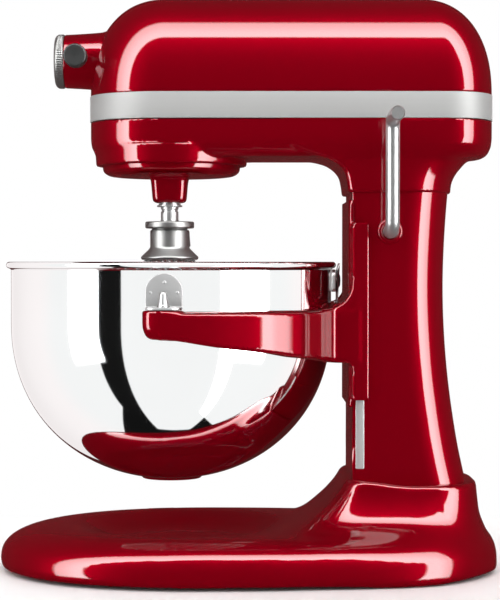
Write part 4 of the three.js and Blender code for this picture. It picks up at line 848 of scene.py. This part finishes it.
def make_bowl():
    wall = 1.2
    drop = np.linspace(0, 1, 90)
    drop = np.sin(drop * math.pi / 2)
    z = BOWL_KNEE - BOWL_DEPTH * drop
    r = bowl_radius(z)
    keep = r > 22
    outer = np.stack([r[keep], z[keep]], -1)[::-1]
    low = BOWL_KNEE - BOWL_DEPTH
    foot = np.array([[0, low + 0.5], [18.4, low + 0.5], [19.8, low + 0.15], [21.4, low]])
    slope = np.gradient(outer, axis=0)
    normal = np.stack([slope[:, 1], -slope[:, 0]], -1)
    normal /= np.linalg.norm(normal, axis=1, keepdims=True)
    inner = (outer - normal * wall)[::-1]
    inner = inner[inner[:, 0] > 19]
    turn = np.radians(np.linspace(-88, 205, 30))
    bead = np.stack([119.05 + 2.4 * np.cos(turn), RIM_Z + 2.4 * np.sin(turn)], -1)
    straight = np.stack([np.full(14, BOWL_RADIUS), np.linspace(BOWL_KNEE + 2, RIM_Z - 3.4, 14)], -1)
    back = np.stack([np.full(14, BOWL_RADIUS - wall), np.linspace(RIM_Z - 1.6, BOWL_KNEE + 2, 14)], -1)
    floor = np.array([[16.0, low + wall + 0.5], [0, low + wall + 0.5]])
    profile = np.concatenate([foot, outer, straight, bead, back, inner, floor])
    bowl = Skin().sheet(turned(profile, (BOWL_X, 0, 0), sides=288))
    piece("bowl", bowl, BOWL_STEEL, "bowl", 50)
    for side, name in ((-1, "near"), (1, "far")):
        half, low = 12.5, 194.3
        arch = np.linspace(0, math.pi, 33)
        outline = np.concatenate([[[-half, low], [half, low]],
                                  np.stack([half * np.cos(arch), 206.0 + half * np.sin(arch)], -1)])
        grid = plate(resampled(outline, 160, closed=True), 118.5, 121.7, 0.35)
        ear = Skin().sheet((grid[..., [0, 2, 1]] + [BOWL_X, 0, 0]) * [1, side, 1])
        for dx, z in ((-9.1, 205.4), (9.1, 205.4), (0.4, 212.4)):
            weld = turned([[1.3, 121.6], [1.05, 121.75], [0.6, 121.85], [0, 121.9]], (BOWL_X + dx, 0, z),
                          "y", 20)
            ear.sheet(weld * [1, side, 1], low=False, high=False)
        tab = softened([[BOWL_X - 12, 119.5], [BOWL_X + 12, 119.5], [BOWL_X + 12, 137], [BOWL_X + 7, 140.6],
                        [BOWL_X - 7, 140.6], [BOWL_X - 12, 137]], 3, 6, closed=True)
        ear.sheet(plate(resampled(tab, 120, closed=True), 194.1, 195.9, 0.3) * [1, side, 1])
        bend = turned(softened([[0, -12], [1.5, -12], [1.5, 12], [0, 12]], 0.2), (BOWL_X, 120.4, 195.3),
                      "x", 24)
        ear.sheet(bend * [1, side, 1])
        piece(f"bowl_ear_{name}", ear, SHEET_STEEL, "bowl", 40)
    outline = softened([[-14, 204.3], [14, 204.3], [14, 217], [10.5, 220.6], [-10.5, 220.6], [-14, 217]],
                       2.5, 6, closed=True)
    rear = Skin().sheet(plate(resampled(outline, 120, closed=True), 59.9, 62.9, 0.4)[..., [2, 0, 1]])
    stud = softened([[0, 61], [2.6, 61], [2.6, 64.9], [5.0, 65.1], [5.2, 65.7], [3.8, 66.7], [0, 67]], 0.5, 5)
    rear.sheet(turned(stud, (0, 0, 212.4), "x", 64))
    for y in (-9.5, 9.5):
        rivet = turned(softened([[0, 62.6], [2.1, 62.8], [1.6, 63.5], [0, 63.7]], 0.4), (0, y, 212), "x", 32)
        rear.sheet(rivet)
    piece("bowl_rear_bracket", rear, SHEET_STEEL, "bowl", 40)


# ---------------------------------------------------------------- carriage

# Each arm, by the angle round the bowl: the height of its underside, then the radius of its outer and inner
# face.
ARM_UNDER = np.array([[-100, 176.0], [-88, 174.0], [-75, 169.0], [-59, 164.2], [-50, 161.0], [-40, 158.8],
                      [-29, 156.2], [-24, 154.8], [-10, 153.4], [0, 153]])
ARM_RADIUS = 145.6
ARM_OUTER = np.array([[-100, 138.6], [-87, 141.2], [-77, 142.1], [-68.8, 143.4], [-64, 144.8],
                      [-60.3, ARM_RADIUS], [-57, ARM_RADIUS], [-54, ARM_RADIUS], [0, ARM_RADIUS]])
ARM_INNER = np.array([[-100, 125.6], [-87, 128.6], [-77, 129.6], [-68, 130], [-60, 129], [-52, 125.5],
                      [-45, 121], [-38, 119.8], [0, 119.8]])
FLANGE_X, FLANGE_Y = 73.2, 53.0


def arm_edge(x):
    """How far out an arm's side face lies at x: a circle round the bowl that eases in to the flange's
    face."""
    ring = np.sqrt(ARM_RADIUS ** 2 - np.clip(x - BOWL_X, 0, 0.98 * ARM_RADIUS) ** 2)
    return ring + (FLANGE_Y - ring) * smooth_step((x - 35) / 27)


def carriage_field(p):
    """The sliding plate with a proud flange down each side, and both arms swept round the bowl to their
    bosses. Each arm leaves its flange flush, and a concave web as deep as the flange fills the corner above
    it."""
    x, y, z = p
    y = np.abs(y)
    plate_ = block((x, y, z), (67.6, -51, 122.4), (73.6, 51, 270.5), 1.6)
    plate_ = np.maximum(plate_, rounded_pair(70.4 - x, y - 51, 6.0))
    flange = block((x, y, z), (FLANGE_X, 47.6, 127.4), (84.4, FLANGE_Y, 254.3), 1.0)
    body = union(plate_, flange, 0.8)
    angle = np.clip(np.degrees(np.arctan2(-y, x - BOWL_X)), -99.9, -0.1)
    spread = np.hypot(x - BOWL_X, y)
    half_z = (ARM_TOP - smooth_curve(ARM_UNDER, angle)) / 2
    height = np.abs(z - ARM_TOP + half_z) - half_z
    edge = arm_edge(x)
    steep = np.hypot(1, arm_edge(x + 0.5) - arm_edge(x - 0.5))
    face = np.where(x < 30, spread - smooth_curve(ARM_OUTER, angle), (y - edge) / steep)
    swept = np.maximum(face, smooth_curve(ARM_INNER, angle) - spread)
    swept = np.maximum(rounded_pair(swept, height, 2.2), np.maximum(-(x + 60), x - 78))
    big, small, low = 21.0, 9.0, 158.0
    web = np.maximum(np.maximum(42 - y, low - small - z), z - ARM_TOP - big)
    web = np.maximum(web, np.maximum(FLANGE_X - big - x, x - 78))
    web = np.maximum(web, big - np.hypot(x - FLANGE_X + big, z - ARM_TOP - big))
    under = np.where(x > FLANGE_X - small, small - np.hypot(x - FLANGE_X + small, z - low + small), low - z)
    web = np.maximum(web, under)
    web = both(web, face, 1.6)
    body = union(body, union(swept, web, 3), 1.2)
    shelf = block((x, y, z), (60.8, -38, 160), (70, 38, 196), 3)
    body = union(body, shelf, 10)
    boss_plan = (squared((x - BOWL_X) / 14, (y - PIN_Y) / 9.2, 2.6) - 1) * 11
    depth = np.clip((z - 174.2) / 11, 0.02, 1)
    boss = boss_plan + 5.2 * (1 - np.sqrt(1 - (1 - depth) ** 2))
    boss = rounded_pair(boss, np.maximum(z - 193.7, 174.2 - z), 1.4)
    body = union(body, boss, 2.2)
    body = cut(body, np.where(x < 66, spread - 119.8, 50.0), 1.0)
    return cut(body, block((x, y, z), (73.6, -47.45, 60), (140, 47.45, 330), 0.3), 0.4)


def make_carriage():
    step = 1.55
    points, faces = casting(carriage_field, (-78, -146, 118), (90, 146, 275), step)
    piece("carriage", Skin().add(points, faces), ENAMEL, "carriage", 60)
    for side, name in ((-1, "near"), (1, "far")):
        pin = softened([[0, 193.9], [4.3, 193.9], [4.4, 196.6], [3.9, 197.6], [2.4, 205.2], [1.5, 206.3],
                        [0, 206.4]], 0.6, 5)
        piece(f"locating_pin_{name}", Skin().sheet(turned(pin, (BOWL_X, side * PIN_Y, 0), sides=64)),
              BAR_STEEL, "carriage")
    fork = [[-11, 197], [11, 197], [11, 221], [9, 225], [4.8, 225.2], [3.4, 222.5], [3.4, 209],
            [2.2, 207.2], [-2.2, 207.2], [-3.4, 209], [-3.4, 222.5], [-4.8, 225.2], [-9, 225], [-11, 221]]
    grid = plate(softened(fork, 1.0, 4, closed=True), 0, 0.8, 0.2)
    height = grid[..., 1]
    lean = np.interp(height, [197, 201, 212, 219, 225], [63.9, 63.6, 63.8, 63.9, 65.4])
    spring = Skin().sheet(np.stack([lean + grid[..., 2], grid[..., 0], height], -1))
    foot = plate(softened([[61.8, -11], [64.6, -11], [64.6, 11], [61.8, 11]], 0.6, closed=True), 196.3,
                 197.1, 0.2)
    spring.sheet(foot)
    piece("latch_spring", spring, SHEET_STEEL, "carriage", 40)


# ---------------------------------------------------------------- lift lever

def make_lever():
    top, side, grip = LEVER_Z + 79, -71.0, 45.0
    corners = [[48, LEVER_Z], [side, LEVER_Z], [side, top], [side - grip, top]]
    path = resampled(softened(corners, 9.5, 16), 200)
    path = np.c_[np.full(len(path), LEVER_X), path]
    radius = np.full(len(path), LEVER_RADIUS)
    tail = np.linalg.norm(path - path[-1], axis=1)
    radius -= 0.8 * np.clip(1 - tail / 0.8, 0, 1) ** 2
    lever = Skin().sheet(bar(path, radius, 48, (1, 0, 0)))
    piece("lift_lever", lever, BAR_STEEL, "lever", 40)


# ---------------------------------------------------------------- pieces kept from the frame

KEPT = [
    (MACHINED, "column_bolt_1 column_bolt_2 column_bolt_3 column_bolt_4 hub_drive armature lift_crank"),
    (MACHINED, "motor_bearing_front motor_bearing_rear wheel_shaft centre_gear centre_shaft ring_gear"),
    (MACHINED, "planet_pinion lift_bracket"), (BRONZE, "hub_bearing worm_wheel centre_bearing"),
    (NYLON, "cooling_fan"), (WOUND, "stator"),
    (CAST_ALLOY, "motor_bracket_front motor_bracket_rear gear_bracket"),
    (HARD_BLACK, "brush_holder_near brush_holder_far"), (BOARD, "control_board"),
]


def dress_kept():
    for material, names in KEPT:
        for name in names.split():
            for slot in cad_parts[name].material_slots:
                slot.material = material


# ---------------------------------------------------------------- floor and light

def make_floor():
    f = Finish("floor")
    tone = f.noise(f.place, 3.0, 2.0)
    material = f.close(f.between(tone, (0.93, 0.93, 0.93), (0.95, 0.95, 0.95)), 0.55, 0.0, None,
                       Specular_IOR_Level=0.2)
    mesh = bpy.data.meshes.new("floor")
    rim = np.linspace(0, TAU, 96, endpoint=False)
    x, y = 0.31 * signed_power(np.cos(rim), 4), 0.05 + 0.22 * signed_power(np.sin(rim), 4)
    mesh.from_pydata(np.stack([x, y, 0 * x], -1).tolist(), [], [tuple(range(96))])
    mesh.materials.append(material)
    floor = bpy.data.objects.new("floor", mesh)
    scene.collection.objects.link(floor)


BRIGHT = ["bowl", "bowl_ear_near", "bowl_rear_bracket"]
CLOTHS = (("front_cloth", (0.40, -3.0, -7.0), (5.1, 20.4), 1.24),
          ("right_cloth", (2.9, -0.5, -1.5), (5.6, 11.0), 1.25),
          ("left_cloth", (-3.0, 0.8, -1.5), (9.2, 12.0), 1.24))
HOOP_LIGHT, TENT_LIGHT, DIM_LIGHT, RED_GLOW, REAR_LAMP = 15.0, 1.12, 0.008, 0.075, 9


def soft_box(name, centre, size, power, aim=(0, 0, 0.25)):
    """A rectangular lamp that faces a point. Its second side stays as upright as it can."""
    data = bpy.data.lights.new(name, "AREA")
    data.shape, data.size, data.size_y, data.energy = "RECTANGLE", size[0], size[1], power
    lamp = bpy.data.objects.new(name, data)
    scene.collection.objects.link(lamp)
    lamp.location = centre
    lamp.rotation_euler = (Vector(aim) - Vector(centre)).to_track_quat("-Z", "Y").to_euler()
    lamp.visible_camera = False
    return lamp


def set_light():
    """A white tent: even light from every side, and for reflections a bright hoop of cloth round the Y axis
    with a dull red cloth at the back. The bowl sees three plain cloths of its own, and no piece mirrors the
    floor or the bowl."""
    world = bpy.data.worlds.new("studio")
    scene.world = world
    g = Graph(world, "Generated")
    axes = g.add("ShaderNodeSeparateXYZ", None, {"Vector": g.place}, out="Y")
    right = Wire(g, axes.socket.node.outputs["X"])
    up = Wire(g, axes.socket.node.outputs["Z"])
    near = axes * -1
    inner = 0.62 + g.ease(right, 0.1, 0.5) * 0.10
    hoop = g.ease(near, 0.25, 0.33) * (1 - g.ease(near - inner, -0.01, 0.03)) * g.ease(up, -0.38, -0.28)
    hoop = hoop * (0.62 + g.ease(near, 0.3, 0.62) * 0.38)
    behind = g.ease(near * -1, -0.1, 0.3)
    rays = g.add("ShaderNodeLightPath", out="Is Camera Ray")
    glossy = Wire(g, rays.socket.node.outputs["Is Glossy Ray"])
    unseen = 1 - rays
    shiny = DIM_LIGHT + hoop * HOOP_LIGHT + behind * DIM_LIGHT
    level = rays + unseen * (glossy * shiny + (1 - glossy) * TENT_LIGHT)
    warm = level + unseen * glossy * behind * RED_GLOW
    colour = g.add("ShaderNodeCombineXYZ", None, {"X": warm, "Y": level, "Z": level}, out="Vector")
    shade = g.add("ShaderNodeBackground", None, {"Color": colour, "Strength": 1.0})
    g.finish_with("ShaderNodeOutputWorld", shade)
    for name, centre in (("rear_left", (-0.7, 2.1, 0.9)), ("rear_right", (0.9, 2.0, 0.9))):
        soft_box(name, centre, (0.4, 1.3), REAR_LAMP).visible_glossy = False
    for name in ("floor", PREFIX + "bowl"):
        bpy.data.objects[name].visible_glossy = False
    metal = bpy.data.collections.new("bright_metal")
    for name in BRIGHT:
        metal.objects.link(bpy.data.objects[PREFIX + name])
    for name, centre, size, white in CLOTHS:
        power = size[0] * size[1] * math.pi * white
        cloth = soft_box(name, centre, size, power, (centre[0] * 0.2, 0, centre[2]))
        cloth.light_linking.receiver_collection = metal
    scene.view_settings.view_transform = "Standard"


make_base()
make_column()
make_top_cover()
make_band()
make_lower_head()
make_hub()
make_speed_lever()
make_drive()
make_whisk()
make_bowl()
make_carriage()
make_lever()
dress_kept()
make_floor()
set_light()
